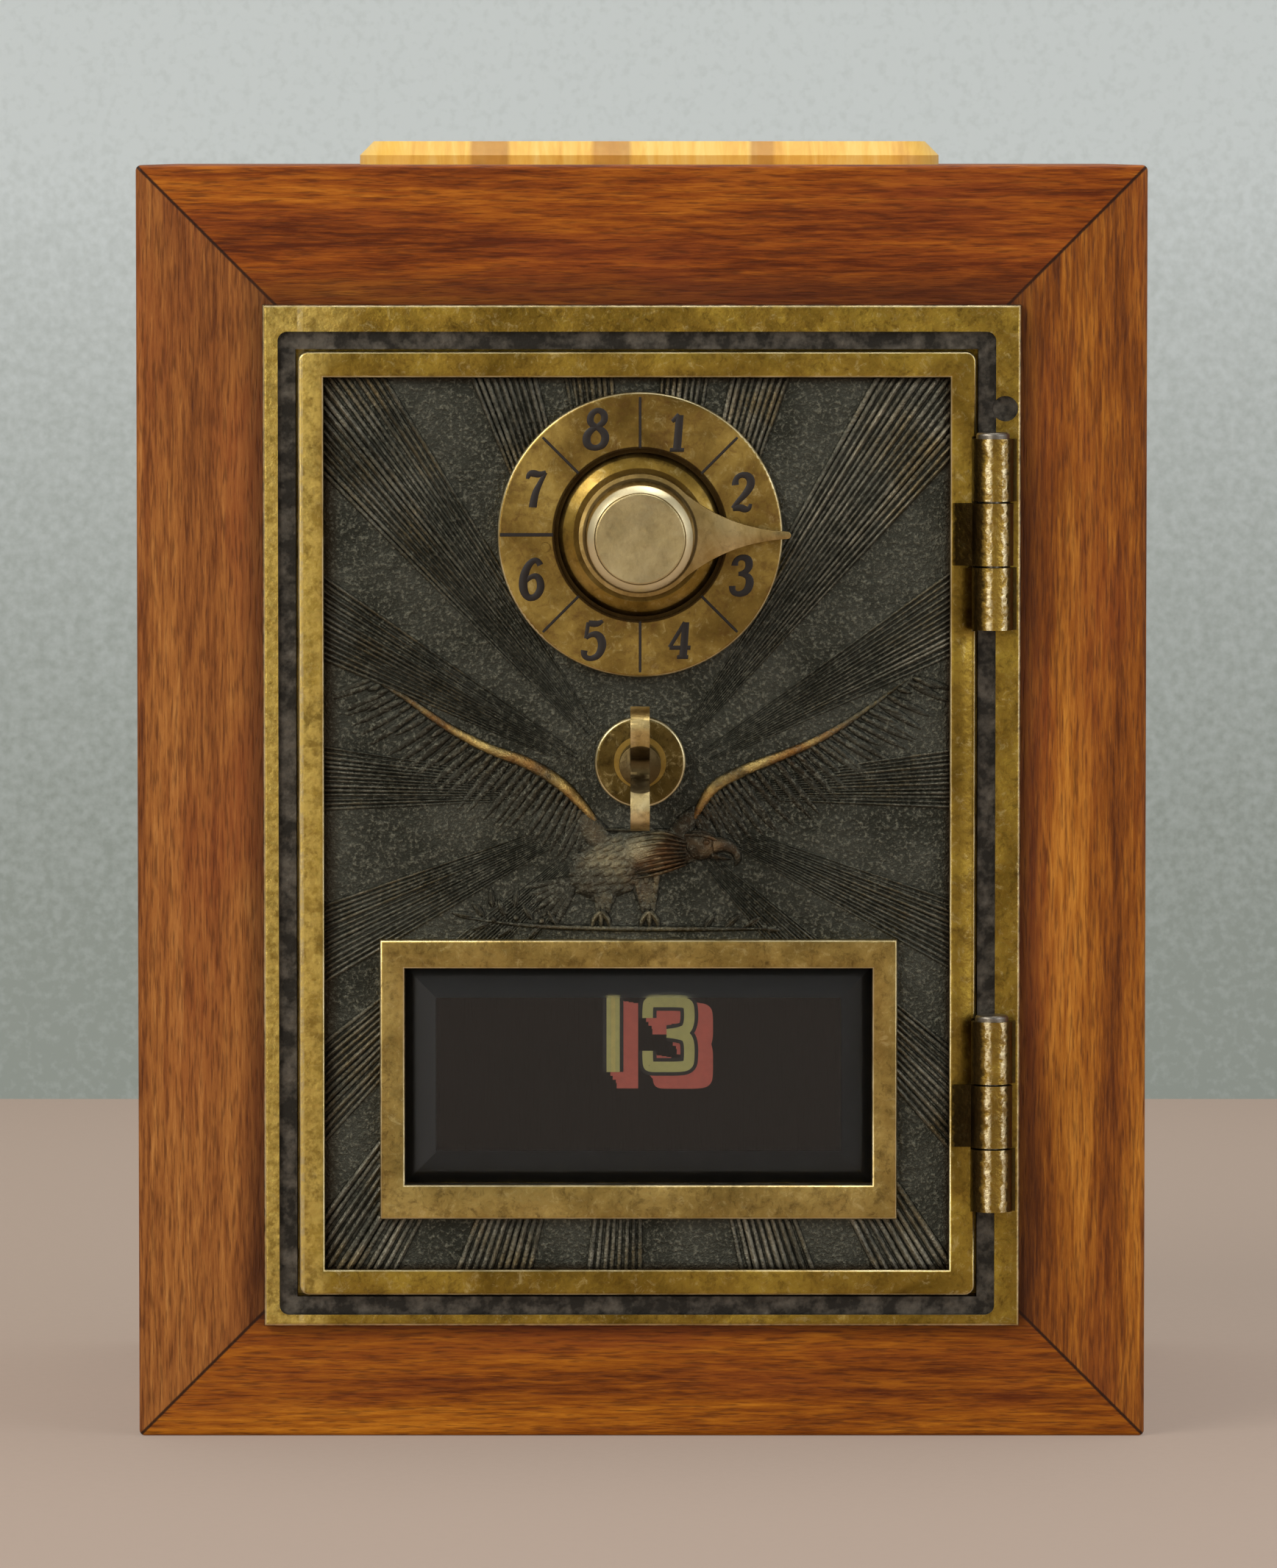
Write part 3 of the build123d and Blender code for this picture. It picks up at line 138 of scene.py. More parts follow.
def grain(tree, place, size, detail, stretch=(1, 1, 1), roughness=0.55, distortion=0.0, spread=None):
    """Noise whose features are size millimetres across, pulled out along an axis by stretch. Where
    spread is given, its first two values become its last two, and hold the noise's ends."""
    mapped = add_node(tree, "Mapping", {"Vector": place, "Scale": [1 / s for s in stretch]})
    inputs = {"Vector": mapped, "Scale": 1 / size, "Detail": detail}
    made = add_node(tree, "TexNoise", inputs | {"Roughness": roughness, "Distortion": distortion})
    return add_node(tree, "MapRange", (made, *spread)) if spread else made


def wander(tree, value, uneven, reach):
    """A value that wanders up to reach to either side, as an uneven grain goes."""
    off = add_node(tree, "MapRange", (uneven, 0.3, 0.7, -reach, reach))
    return add_node(tree, "Math", (value, off), operation="ADD")


def beyond(tree, value, middle, half):
    """How far a coordinate lies outside half a width from a middle, and below 0 inside it."""
    away = add_node(tree, "Math", (value, middle), operation="SUBTRACT")
    away = add_node(tree, "Math", (away,), operation="ABSOLUTE")
    return add_node(tree, "Math", (away, half), operation="SUBTRACT")


def band(tree, value, low, high, soft):
    """1 between two values of a coordinate, falling off softly outside them."""
    rising = add_node(tree, "MapRange", (value, low - soft, low, 0.0, 1.0))
    falling = add_node(tree, "MapRange", (value, high, high + soft, 1.0, 0.0))
    return add_node(tree, "Math", (rising, falling), operation="MULTIPLY")


def lay_coat(tree, colour, coat, *shares):
    """A coat of another colour over a colour, as strong as all its shares multiplied."""
    share = shares[0]
    for more in shares[1:]:
        share = add_node(tree, "Math", (share, more), operation="MULTIPLY")
    return add_node(tree, "Mix", {0: share, 6: colour, 7: coat}, data_type="RGBA")


# ------------------------------------------------------------------ wood
def oiled_walnut(name, tones, along, shift, shade_painted_from=None):
    """Oiled walnut, planed and finished by rubbing: orange-brown heartwood in wide bands, with fine darker
    growth lines and short open pores along the board, which are drawn a little coarser than real ones, so
    that they show. The mitres are dark joints, and the wood grows darker towards the brass. A panel may be
    painted near black forward of a given depth, as painted shade of the closed case's inside. Tones go from
    dark to light."""
    material, tree, true_place = start_material(name)
    place = add_node(tree, "VectorMath", (true_place, (shift, shift * 0.37, shift * 0.71)))
    wide = grain(tree, place, 6.5, 4, [1 + share * 19 for share in along], 0.55, 0.6)
    figure = grain(tree, place, 0.62, 6, [1 + share * 14 for share in along], 0.72, 0.2)
    tone = add_node(tree, "Math", (figure, wide), operation="ADD")
    tone = add_node(tree, "MapRange", (tone, 0.79, 1.31, 0.0, 1.0))
    colour = add_node(tree, "ValToRGB", (tone,), list(zip((0, 0.35, 0.65, 1), tones)))
    longer = [1 + share * 3 for share in along]
    redder = grain(tree, place, 14.0, 2, longer, 0.5, 0.4, spread=(0.48, 0.66, 0.0, 0.4))
    colour = lay_coat(tree, colour, "#8b3f1d", redder)
    longer = [1 + share * 11 for share in along]
    pores = grain(tree, place, 0.27, 2, longer, 0.5, spread=(0.5, 0.68, 0.0, 0.55))
    colour = lay_coat(tree, colour, "#4a2106", pores)
    x, y, z = add_node(tree, "SeparateXYZ", (true_place,)).outputs
    if shade_painted_from is None:
        # both are below 0 inside the case's outline, and equal on a mitre
        past_side = beyond(tree, x, 0.0, CASE_HALF_WIDTH)
        past_end = beyond(tree, z, CASE_HALF_HEIGHT, CASE_HALF_HEIGHT)
        mitre = add_node(tree, "Math", (past_side, past_end), operation="SUBTRACT")
        mitre = add_node(tree, "Math", (mitre,), operation="ABSOLUTE")
        mitre = add_node(tree, "MapRange", (mitre, 0.16, 0.36, 0.9, 0.0))
        colour = lay_coat(tree, colour, "#1d0d05", mitre)
        # the wood is darker towards the brass
        darker_near_brass = add_node(tree, "Math", (past_side, past_end), operation="MAXIMUM")
        darker_near_brass = add_node(tree, "MapRange", (darker_near_brass, -12.6, -15.4, 0.0, 0.5))
        colour = lay_coat(tree, colour, "#3d1d0a", darker_near_brass)
    else:
        # painted shade: the panel's front is painted near black, as the inside of the closed case lies in
        # shade
        painted_inner_shade = add_node(tree, "MapRange", (y, shade_painted_from, shade_painted_from + 0.3, 1.0, 0.0))
        colour = lay_coat(tree, colour, "#0b1013", painted_inner_shade)
    rough = add_node(tree, "MapRange", (figure, 0.3, 0.7, 0.36, 0.52))
    looks = {"Base Color": colour, "Roughness": rough, "Specular IOR Level": 0.2}
    closed = add_node(tree, "Math", (1.0, pores), operation="SUBTRACT")
    finish_material(tree, looks, [(figure, 0.03), (closed, 0.05)])
    return material


DARK_STRIPS = [(-22.4, -16.8), (-6.6, -1.1), (13.7, 17.4)]  # of the coin plate, from x to x


def laminated_maple(name):
    """Lacquered maple strips, glued up side by side, with a few darker strips of walnut sapwood."""
    material, tree, place = start_material(name)
    across = add_node(tree, "SeparateXYZ", (place,)).outputs[0]
    figure = grain(tree, place, 1.6, 4, (1, 14, 6), 0.6, 0.5)
    colour = add_node(tree, "ValToRGB", (figure,), [(0.25, "#e6a838"), (0.5, "#f8c555"), (0.75, "#ffdb7c")])
    sapwood = lay_coat(tree, "#a56d20", "#d99a3c", grain(tree, place, 2.0, 3, (1, 12, 1)))
    for low, high in DARK_STRIPS:
        outside = beyond(tree, across, (low + high) / 2, (high - low) / 2)
        strip = add_node(tree, "MapRange", (outside, 0.0, -0.6, 0.0, 0.8))
        colour = lay_coat(tree, colour, sapwood, strip)
    finish_material(tree, {"Base Color": colour, "Roughness": 0.4, "IOR": 1.5}, [(figure, 0.03)])
    return material


# ------------------------------------------------------------------ brass
# tones across the hinge barrels, the dark ones painted shade: from x to x, how softly they end, their colour
# and share
BARREL_TONES = [
    (41.0, 47.0, 0.5, "#9c7c3c", 0.4),  # browner brass
    (39.3, 42.5, 0.6, "#261d12", 0.9),  # painted shade on the side towards the door
    (45.9, 47.2, 0.4, "#33281a", 0.8),  # painted shade on the far side
]
BARREL_GLINTS = [(43.3, 43.7), (45.3, 45.6)]  # two lines of painted highlight
BRIGHTEST_CORNER = (-42.5, -52.8, 141.2)  # of the frame, where the painted highlight is brightest


def paint_casting_light_and_tone(tree, place, colour):
    """Painted light on the two castings: a painted highlight along the door's left edge, over their left
    sides and round the frame's top left corner. Their hinge barrels are browner, with painted shade at both
    sides and two lines of painted highlight. Returns the colour, and the roughness of the barrels as a
    relief."""
    x, depth, _ = add_node(tree, "SeparateXYZ", (place,)).outputs
    # a painted highlight along the door's left edge
    colour = lay_coat(tree, colour, "#d9cba2", band(tree, x, DOOR_LEFT, DOOR_LEFT + 0.55, 0.15), 0.7)
    # a painted highlight over the left sides and round the frame's top left corner
    painted_highlight = add_node(tree, "MapRange", (x, -39.0, -40.5, 0.0, 1.0))
    near = add_node(tree, "VectorMath", (place, BRIGHTEST_CORNER), operation="DISTANCE")
    near = add_node(tree, "MapRange", (near, 3.5, 7.5, 1.0, 0.0))
    painted_highlight = add_node(tree, "Math", (painted_highlight, near), operation="MAXIMUM")
    spots = grain(tree, place, 1.1, 4, roughness=0.6, spread=(0.38, 0.58, 0.25, 0.85))
    colour = lay_coat(tree, colour, "#dec268", painted_highlight, spots)
    # only the barrels stand out further than the door's rim
    standing = add_node(tree, "MapRange", (depth, RIM_Y - 0.1, RIM_Y - 0.4, 0.0, 1.0))
    uneven = grain(tree, place, 0.9, 3, roughness=0.6)
    x = wander(tree, x, uneven, 0.25)
    # across the barrels: browner brass, and painted shade at both sides
    for low, high, soft, code, share in BARREL_TONES:
        colour = lay_coat(tree, colour, code, band(tree, x, low, high, soft), standing, share)
    # two lines of painted highlight along each barrel
    broken = add_node(tree, "MapRange", (uneven, 0.4, 0.56, 0.1, 1.0))
    for low, high in BARREL_GLINTS:
        glint = band(tree, x, low, high, 0.25)
        colour = lay_coat(tree, colour, "#f6e9bd", glint, standing, 0.85, broken)
    return colour, add_node(tree, "Math", (uneven, standing), operation="MULTIPLY")


def aged_brass(name, stops, stain, pits, face=None, low=None, rings=(), axis_z=DIAL_Z, cast=False):
    """Cast or turned brass, worn by hands and dulled by age: patches of tone, blotches and specks of brown
    oxide, pale specks that stand for wear and painted glints, and the fine pits of the casting. Stain is the
    oxide's colour and share. The eased edges just behind the face get a pale band, wear and a painted
    highlight together, and where low is given too, the ground behind it keeps a dark oxide. Rings are laid
    round a spindle at axis_z, each with its radii, colour and share: the dark ones are painted shade in
    grooves and gaps, the bright one a painted highlight on an edge. The two castings also get painted light:
    highlights on their left sides and barrels, and painted shade at the sides of the barrels."""
    material, tree, place = start_material(name)
    oxide, share = stain
    patches = grain(tree, place, 10.0, 5, roughness=0.62, distortion=0.5)
    colour = add_node(tree, "ValToRGB", (patches,), stops)
    blotches = grain(tree, place, 2.4, 5, roughness=0.72, spread=(0.53, 0.72, 0.0, share))
    colour = lay_coat(tree, colour, oxide, blotches)
    speckle = grain(tree, place, 1.5, 6, roughness=0.78, distortion=0.6)
    dark_specks = add_node(tree, "MapRange", (speckle, 0.53, 0.68, 0.0, share * 0.9))
    colour = lay_coat(tree, colour, oxide, dark_specks)
    # pale specks: wear, and painted glints
    light_specks = add_node(tree, "MapRange", (speckle, 0.45, 0.33, 0.0, share * 0.5))
    colour = lay_coat(tree, colour, "#efdc9c", light_specks)
    rough = grain(tree, place, 3.5, 4, roughness=0.6, spread=(0.35, 0.65, 0.3, 0.48))
    reliefs = [(grain(tree, place, 0.7, 3), pits), (grain(tree, place, 4.0, 2), pits * 2)]
    if cast:
        colour, barrels = paint_casting_light_and_tone(tree, place, colour)
        reliefs.append((barrels, 0.12))
    if face is not None:
        depth = add_node(tree, "SeparateXYZ", (place,)).outputs[1]
        # a pale band on the eased edges just behind the face: wear, and a painted highlight
        worn_and_highlit = band(tree, depth, face + 0.08, face + 0.34, 0.05)
        worn = grain(tree, place, 5.0, 3, spread=(0.35, 0.6, 0.35, 1.0))
        colour = lay_coat(tree, colour, "#efe0b0", worn_and_highlit, worn)
    if face is not None and low is not None:
        greyer = grain(tree, place, 2.2, 4, roughness=0.6, spread=(0.42, 0.66, 0.0, 1.0))
        ground = lay_coat(tree, "#3a3834", "#6f6a61", greyer)
        grime = wander(tree, depth, grain(tree, place, 1.2, 3), 0.12)
        grime = band(tree, grime, low + 0.1, BACK_OF_GRIME, 0.3)
        colour = lay_coat(tree, colour, ground, grime)
        duller = add_node(tree, "MapRange", (grime, 0.0, 1.0, 0.0, 0.15))
        rough = add_node(tree, "Math", (rough, duller), operation="ADD")
    if rings:
        offset = add_node(tree, "VectorMath", (place, (SPINDLE_X, 0, axis_z)), operation="SUBTRACT")
        offset = add_node(tree, "VectorMath", (offset, (1, 0, 1)), operation="MULTIPLY")
        radius = add_node(tree, "VectorMath", (offset,), operation="LENGTH")
        for inner, outer, code, strength in rings:
            colour = lay_coat(tree, colour, code, band(tree, radius, inner, outer, 0.12), strength)
    finish_material(tree, {"Base Color": colour, "Roughness": rough, "Metallic": 1.0}, reliefs)
    return material


def oxidised_relief(name, low, high, crest, shade, warm):
    """Cast relief left dark: a cold grey-brown oxide in the ground, pebbled like sand-cast brass, with pale
    specks on the pebbles' tops as painted glints. Where it stands high it turns to the crest colour, as worn
    brass and a painted highlight together. Patches of the crest turn to the warm colour, and painted shade
    lies in brown along the foot of the rim, widest on the left. Low and high are depths."""
    material, tree, place = start_material(name)
    x, depth, z = add_node(tree, "SeparateXYZ", (place,)).outputs
    pebbles = grain(tree, place, 0.55, 2, roughness=0.6)
    fine = grain(tree, place, 0.3, 3, roughness=0.7)
    ground = add_node(tree, "Math", (pebbles, fine), operation="ADD")
    lighter = grain(tree, place, 8.0, 3, spread=(0.35, 0.65, 0.0, 1.0))
    oxide = lay_coat(tree, shade, "#4a4b43", lighter)
    # pale specks on the pebbles' tops: painted glints
    specks = add_node(tree, "MapRange", (ground, 1.0, 1.3, 0.0, 0.8))
    oxide = lay_coat(tree, oxide, "#7f7f70", specks)
    # the crests turn to the crest colour: worn brass, and a painted highlight
    worn_and_highlit = add_node(tree, "MapRange", (wander(tree, depth, fine, 0.16), low, high, 0.0, 1.0))
    worn = grain(tree, place, 5.0, 4, roughness=0.6, spread=(0.36, 0.62, 0.15, 1.0))
    worn_and_highlit = add_node(tree, "Math", (worn_and_highlit, worn), operation="MULTIPLY")
    warmer = grain(tree, place, 7.0, 3, spread=(0.45, 0.62, 0.0, 1.0))
    colour = lay_coat(tree, oxide, lay_coat(tree, crest, warm, warmer), worn_and_highlit)
    # the painted shade along the foot of the rim: where it starts and how far it reaches from each side of
    # the field
    for value, edge, reach in (
        (x, FIELD_LOW.x, 2.1), (x, FIELD_HIGH.x, -0.9), (z, FIELD_LOW.y, 0.9), (z, FIELD_HIGH.y, -0.9),
    ):
        painted_rim_shade = add_node(tree, "MapRange", (value, edge, edge + reach, 0.9, 0.0))
        colour = lay_coat(tree, colour, "#33281a", painted_rim_shade)
    rough = add_node(tree, "MapRange", (worn_and_highlit, 0.0, 1.0, 0.5, 0.36))
    finish_material(tree, {"Base Color": colour, "Roughness": rough, "Metallic": 1.0}, [(ground, 0.16)])
    return material


def dull_steel(name):
    """Turned low-carbon steel, dull and lightly browned, with tool marks drawn coarser than real."""
    material, tree, place = start_material(name)
    stops = [(0.3, "#6d675c"), (0.6, "#918b80"), (0.8, "#a8a298")]
    colour = add_node(tree, "ValToRGB", (grain(tree, place, 1.5, 4),), stops)
    looks = {"Base Color": colour, "Roughness": 0.38, "Metallic": 1.0}
    finish_material(tree, looks, [(grain(tree, place, 0.3, 2), 0.01)])
    return material


def plate_glass(name):
    """Clear old plate glass, which mirrors very little, with wide ground bevels that are less
    polished than its face."""
    material, tree, place = start_material(name)
    middle = (WINDOW_LOW + WINDOW_HIGH) / 2
    flat = (WINDOW_HIGH - WINDOW_LOW) / 2 - Vector((GLASS_BEVEL, GLASS_BEVEL))
    x, _, z = add_node(tree, "SeparateXYZ", (place,)).outputs
    past_flat = (beyond(tree, x, middle.x, flat.x), beyond(tree, z, middle.y, flat.y))
    past_flat = add_node(tree, "Math", past_flat, operation="MAXIMUM")
    rough = add_node(tree, "MapRange", (past_flat, -0.05, 0.05, 0.02, 0.34))
    looks = {"Base Color": "#e2edf2", "Roughness": rough, "IOR": 1.42, "Transmission Weight": 1.0}
    finish_material(tree, looks, [(grain(tree, place, 9.0, 2), 0.01)])
    return material


def sign_paint(name, code, rough):
    """Sign writer's enamel, laid on by hand: an even colour with a faint unevenness."""
    material, tree, place = start_material(name)
    uneven = grain(tree, place, 0.8, 3, spread=(0.3, 0.7, 0.0, 0.12))
    colour = lay_coat(tree, code, "#20180f", uneven)
    finish_material(tree, {"Base Color": colour, "Roughness": rough}, [(grain(tree, place, 0.5, 2), 0.01)])
    return material


walnut_boards = {
    # each board: its tones from dark to light, the axis of its grain, and where in the log it lies
    "case_top_board": (("#5c2400", "#8e4508", "#ad5f10", "#c97a20"), (1, 0, 0), 31),
    "case_bottom_board": (("#5a2600", "#8e4a06", "#ac630c", "#ca7e1a"), (1, 0, 0), 77),
    "case_left_board": (("#653511", "#905524", "#ac6d31", "#c88946"), (0, 0, 1), 5),
    "case_right_board": (("#5f2f09", "#8d4e14", "#ae6a1f", "#d08a32"), (0, 0, 1), 58),
    "back_panel": (("#3a1a08", "#5c3010", "#70401a", "#865226"), (0, 0, 1), 12),
}
maple = laminated_maple("lacquered_maple_strips")
cast_stops = [(0.3, "#715a1f"), (0.5, "#9c7f33"), (0.68, "#bb9e40"), (0.8, "#d6bc64")]
frame_brass = aged_brass(
    "frame_cast_brass", cast_stops, ("#4e3a18", 0.7), pits=0.07, face=LIP_Y, low=-52.5, cast=True
)
rim_brass = aged_brass(
    "door_cast_brass", cast_stops, ("#5a421c", 0.65), pits=0.05, face=RIM_Y, low=-52.3, cast=True
)
border_brass = aged_brass(
    "border_cast_brass", [(0.3, "#86703a"), (0.5, "#ab9150"), (0.7, "#c8ad66")], ("#4d391c", 0.65),
    pits=0.05, face=BORDER_Y,
)
field_brass = oxidised_relief("field_oxidised_brass", -51.95, -52.5, "#b7b29e", "#35362f", "#a08f69")
eagle_brass = oxidised_relief("eagle_oxidised_brass", -52.1, -53.0, "#a89d7a", "#35332b", "#755a3e")
wing_brass = oxidised_relief("wing_worn_and_highlit_brass", -51.95, -52.5, "#d8bd76", "#3a3426", "#a1753f")
# the dark ring round the dial's recess is painted shade in the groove
dial_brass = aged_brass(
    "dial_turned_brass", [(0.3, "#6d5727"), (0.5, "#94793c"), (0.64, "#b59950"), (0.77, "#d8bf72")],
    ("#6b4a2c", 0.6), pits=0.03, face=DIAL_Y, rings=[(10.3, 11.0, "#2a1c10", 0.9)],
)
# the bush's dark rings are painted shade in the gaps round it and round the knob
bush_brass = aged_brass(
    "bush_turned_brass", [(0.3, "#7c6228"), (0.5, "#9d803a"), (0.7, "#bb9d55")], ("#4d3720", 0.5),
    pits=0.02, rings=[(9.75, 10.6, "#2f2114", 0.75), (7.4, 8.3, "#3a2a18", 0.6)],
)
# the knob's rings: a dark ring of painted shade where the drum meets the hub, and a pale ring of painted
# highlight on the drum's rounded edge
knob_brass = aged_brass(
    "knob_turned_brass", [(0.3, "#8c7442"), (0.5, "#b0955c"), (0.7, "#d3bb84")], ("#5c4728", 0.4),
    pits=0.02, rings=[(6.85, 7.15, "#2c2013", 0.8), (5.8, 6.5, "#f3e6bb", 0.9)],
)
cap_brass = aged_brass(
    "cap_worn_brass", [(0.3, "#b3a06c"), (0.5, "#c3b180"), (0.7, "#cfbf92")], ("#8d7a50", 0.35), pits=0.03
)
rose_brass = aged_brass(
    "rose_turned_brass", [(0.3, "#4a3c1c"), (0.5, "#66552b"), (0.7, "#84703f")], ("#2c2212", 0.7),
    pits=0.04, face=ROSE_Y,
)
# the dark ring at the middle of the thumb turn is painted shade between its two lobes
turn_brass = aged_brass(
    "turn_rubbed_brass", [(0.3, "#ab9050"), (0.5, "#d4bb7d"), (0.7, "#f3e4b2")], ("#5f4826", 0.5),
    pits=0.04, rings=[(0.0, 2.9, "#33271a", 0.85)], axis_z=LATCH_Z,
)
lock_brass = aged_brass(
    "lock_machined_brass", [(0.3, "#8f7334"), (0.5, "#ab8c45"), (0.7, "#c0a45c")], ("#6d5427", 0.2),
    pits=0.01,
)
steel = dull_steel("dull_turned_steel")
glass = plate_glass("bevelled_plate_glass")
black_enamel = sign_paint("black_enamel", "#1a110a", 0.55)
gold_enamel = sign_paint("gold_size_enamel", "#e6cf7a", 0.4)
red_enamel = sign_paint("red_shade_enamel", "#f5705a", 0.45)

finishes = {
    maple: ["coin_plate"],
    frame_brass: ["door_frame"],
    rim_brass: ["door"],
    dial_brass: ["dial_plate", "dial_rivets"],
    bush_brass: ["dial_bush"],
    knob_brass: ["pointer_knob"],
    cap_brass: ["knob_cap"],
    rose_brass: ["latch_rose"],
    turn_brass: ["thumb_turn"],
    lock_brass: [
        "bush_nut", "latch_bush", "glass_retainer", "bolt_guides", "lock_cover", "cover_posts", "drive_cam",
        "wheel_spacers", "combination_wheel_1", "combination_wheel_2", "combination_wheel_3", "latch_cam",
        "latch_bolt",
    ],
    steel: [
        "back_screws", "frame_screws", "retainer_screws", "guide_screws", "cover_screws", "dial_spindle",
        "spindle_clip", "latch_spindle", "crank_pin", "hinge_pin_upper", "hinge_pin_lower",
    ],
    glass: ["window_glass"],
}
for board, (tones, along, shift) in walnut_boards.items():
    # the back panel's front, which is seen through the window, is painted near black: painted shade of the
    # closed case's inside
    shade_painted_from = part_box(board)[0][1] / MM + 0.5 if board == "back_panel" else None
    finishes[oiled_walnut(board + "_oiled_walnut", tones, along, shift, shade_painted_from)] = [board]
for material, nodes in finishes.items():
    for node in nodes:
        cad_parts[node].data.materials.clear()
        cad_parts[node].data.materials.append(material)


# ------------------------------------------------------------------ making pieces
def link_object(name, data):
    """A new object at the origin, in the scene."""
    made = bpy.data.objects.new(name, data)
    bpy.context.scene.collection.objects.link(made)
    return made


def keep_piece(name, shape, materials, body, smooth_angle):
    """Turn a bmesh in millimetres into a piece that rides on a body, smooth up to an angle."""
    bmesh.ops.scale(shape, vec=(MM, MM, MM), verts=shape.verts)
    mesh = bpy.data.meshes.new(name)
    shape.to_mesh(mesh)
    shape.free()
    for material in materials:
        mesh.materials.append(material)
    mesh.shade_smooth()
    mesh.set_sharp_from_angle(angle=math.radians(smooth_angle))
    piece = link_object(name, mesh)
    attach(piece, body)
    return piece


def solid_copy(node):
    """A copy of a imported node's mesh in millimetres, with its doubles merged."""
    shape = bmesh.new()
    shape.from_mesh(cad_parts[node].data)
    bmesh.ops.scale(shape, vec=(1 / MM,) * 3, verts=shape.verts)
    bmesh.ops.remove_doubles(shape, verts=shape.verts, dist=0.002)
    return shape


def ease(shape, edges, width):
    """Round edges over a width."""
    bmesh.ops.bevel(
        shape, geom=edges, offset=width, offset_type="OFFSET", affect="EDGES", segments=2, profile=0.5,
        material=-1, clamp_overlap=True,
    )


def inside(point, low, high, margin):
    """Whether a point's x and z lie inside a rectangle that is grown by a margin."""
    return low.x - margin < point.x < high.x + margin and low.y - margin < point.z < high.y + margin


def on_outline(edge, low, high, depth):
    """Whether an edge lies at a depth on the outline of a rectangle."""
    ends = [v.co for v in edge.verts]
    if any(abs(end.y - depth) > TOUCH for end in ends):
        return False
    on_side = any(all(abs(end.x - side) < TOUCH for end in ends) for side in (low.x, high.x))
    on_end = any(all(abs(end.z - side) < TOUCH for end in ends) for side in (low.y, high.y))
    return on_side or on_end


def make_eased_copy(node, material, body, width):
    """A copy of a turned or filed piece whose edges of over 35 degrees are eased, in its place."""
    shape = solid_copy(node)
    bmesh.ops.dissolve_limit(shape, angle_limit=math.radians(2), verts=shape.verts, edges=shape.edges)
    crisp = [e for e in shape.edges if e.is_manifold and e.calc_face_angle() > math.radians(35)]
    ease(shape, crisp, width)
    piece = keep_piece(node + "_eased", shape, [material], body, 50)
    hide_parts(node)


# ------------------------------------------------------------------ door casting
RELIEF_HEIGHT = 1.5  # the ridges and the eagle stand lower than this on the field, and the border higher


def make_door_casting():
    """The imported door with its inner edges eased, without its plain relief and the floor of its
    field: the pebbled field, the ridges and the eagle below are laid in their place."""
    shape = solid_copy("door")
    gone = []
    for face in shape.faces:
        points = [v.co for v in face.verts]
        on_floor = all(
            FIELD_Y - RELIEF_HEIGHT < point.y < FIELD_Y + TOUCH
            and inside(point, FIELD_LOW, FIELD_HIGH, TOUCH)
            for point in points
        )
        in_border = all(inside(point, BORDER_LOW, BORDER_HIGH, TOUCH) for point in points)
        raised = any(point.y < FIELD_Y - TOUCH for point in points)
        if on_floor and not (in_border and raised):  # the border's sides stay
            gone.append(face)
    bmesh.ops.delete(shape, geom=gone, context="FACES")
    bmesh.ops.dissolve_limit(
        shape, angle_limit=math.radians(1), verts=shape.verts, edges=shape.edges, delimit={"NORMAL"}
    )
    outlines = [(FIELD_LOW, FIELD_HIGH, RIM_Y), (WINDOW_LOW, WINDOW_HIGH, BORDER_Y)]
    outlines.append((BORDER_LOW, BORDER_HIGH, BORDER_Y))
    inner = [e for e in shape.edges if any(on_outline(e, *outline) for outline in outlines)]
    ease(shape, inner, 0.3)
    for face in shape.faces:
        middle = face.calc_center_median()
        if middle.y < FIELD_Y and inside(middle, BORDER_LOW, BORDER_HIGH, TOUCH):
            face.material_index = 1
    piece = keep_piece("door_casting", shape, [rim_brass, border_brass], "door", 30)
    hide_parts("door")


def make_field_ground():
    """The floor of the field: a sheet with the soft unevenness of sand casting, 0.1 mm deep, open
    under the window's border, the dial and the latch."""
    shape = bmesh.new()
    size = FIELD_HIGH - FIELD_LOW
    width, height = size.x + 0.2, size.y + 0.2  # it reaches a little under the rim
    middle = (FIELD_HIGH + FIELD_LOW) / 2
    place = (
        Matrix.Translation((middle.x, FIELD_Y, middle.y))
        @ Matrix.Rotation(math.radians(90), 4, "X")
        @ Matrix.Diagonal((width, height, 1, 1))
    )
    step = 0.447  # from one point of the sheet to the next
    columns, rows = round(width / step), round(height / step)
    bmesh.ops.create_grid(shape, x_segments=columns, y_segments=rows, size=0.5, matrix=place)
    covered = [f for f in shape.faces if inside(f.calc_center_median(), BORDER_LOW, BORDER_HIGH, -0.6)]
    for radius, z in ((17.0, DIAL_Z), (4.8, LATCH_Z)):  # just inside the edges of the dial and the rose
        axis = Vector((SPINDLE_X, FIELD_Y, z))
        covered += [f for f in shape.faces if (f.calc_center_median() - axis).length < radius]
    bmesh.ops.delete(shape, geom=covered, context="FACES")
    for vert in shape.verts:
        lift = noise.noise(vert.co * 0.9) * 0.07 + noise.noise(vert.co * 2.3) * 0.09
        vert.co.y -= 0.1 + lift
    keep_piece("field_ground", shape, [field_brass], "door", 80)


# each bundle of ridges: its middle direction, in degrees from +X, and its spread in degrees
BUNDLES = [
    (3, 11), (30, 12), (54, 14), (74, 8), (84, 7), (97, 7), (108, 9), (128, 14), (151, 12), (177, 12),
    (205, 12), (223, 10), (238, 10), (253, 9), (267, 7), (286, 9), (300, 8), (316, 10), (336, 11),
]
RIDGE_PITCH = 0.86  # degrees from one ridge to the next
DIAL_CLEAR = 17.5  # the ridges keep this far from the dial's middle, just under its edge
BORDER_REACH = 32.4  # ridges that come down on the window's border end there, up to this far out
EAGLE_REACH = 13.0  # no ridge comes down on the border nearer to the middle, where the eagle stands


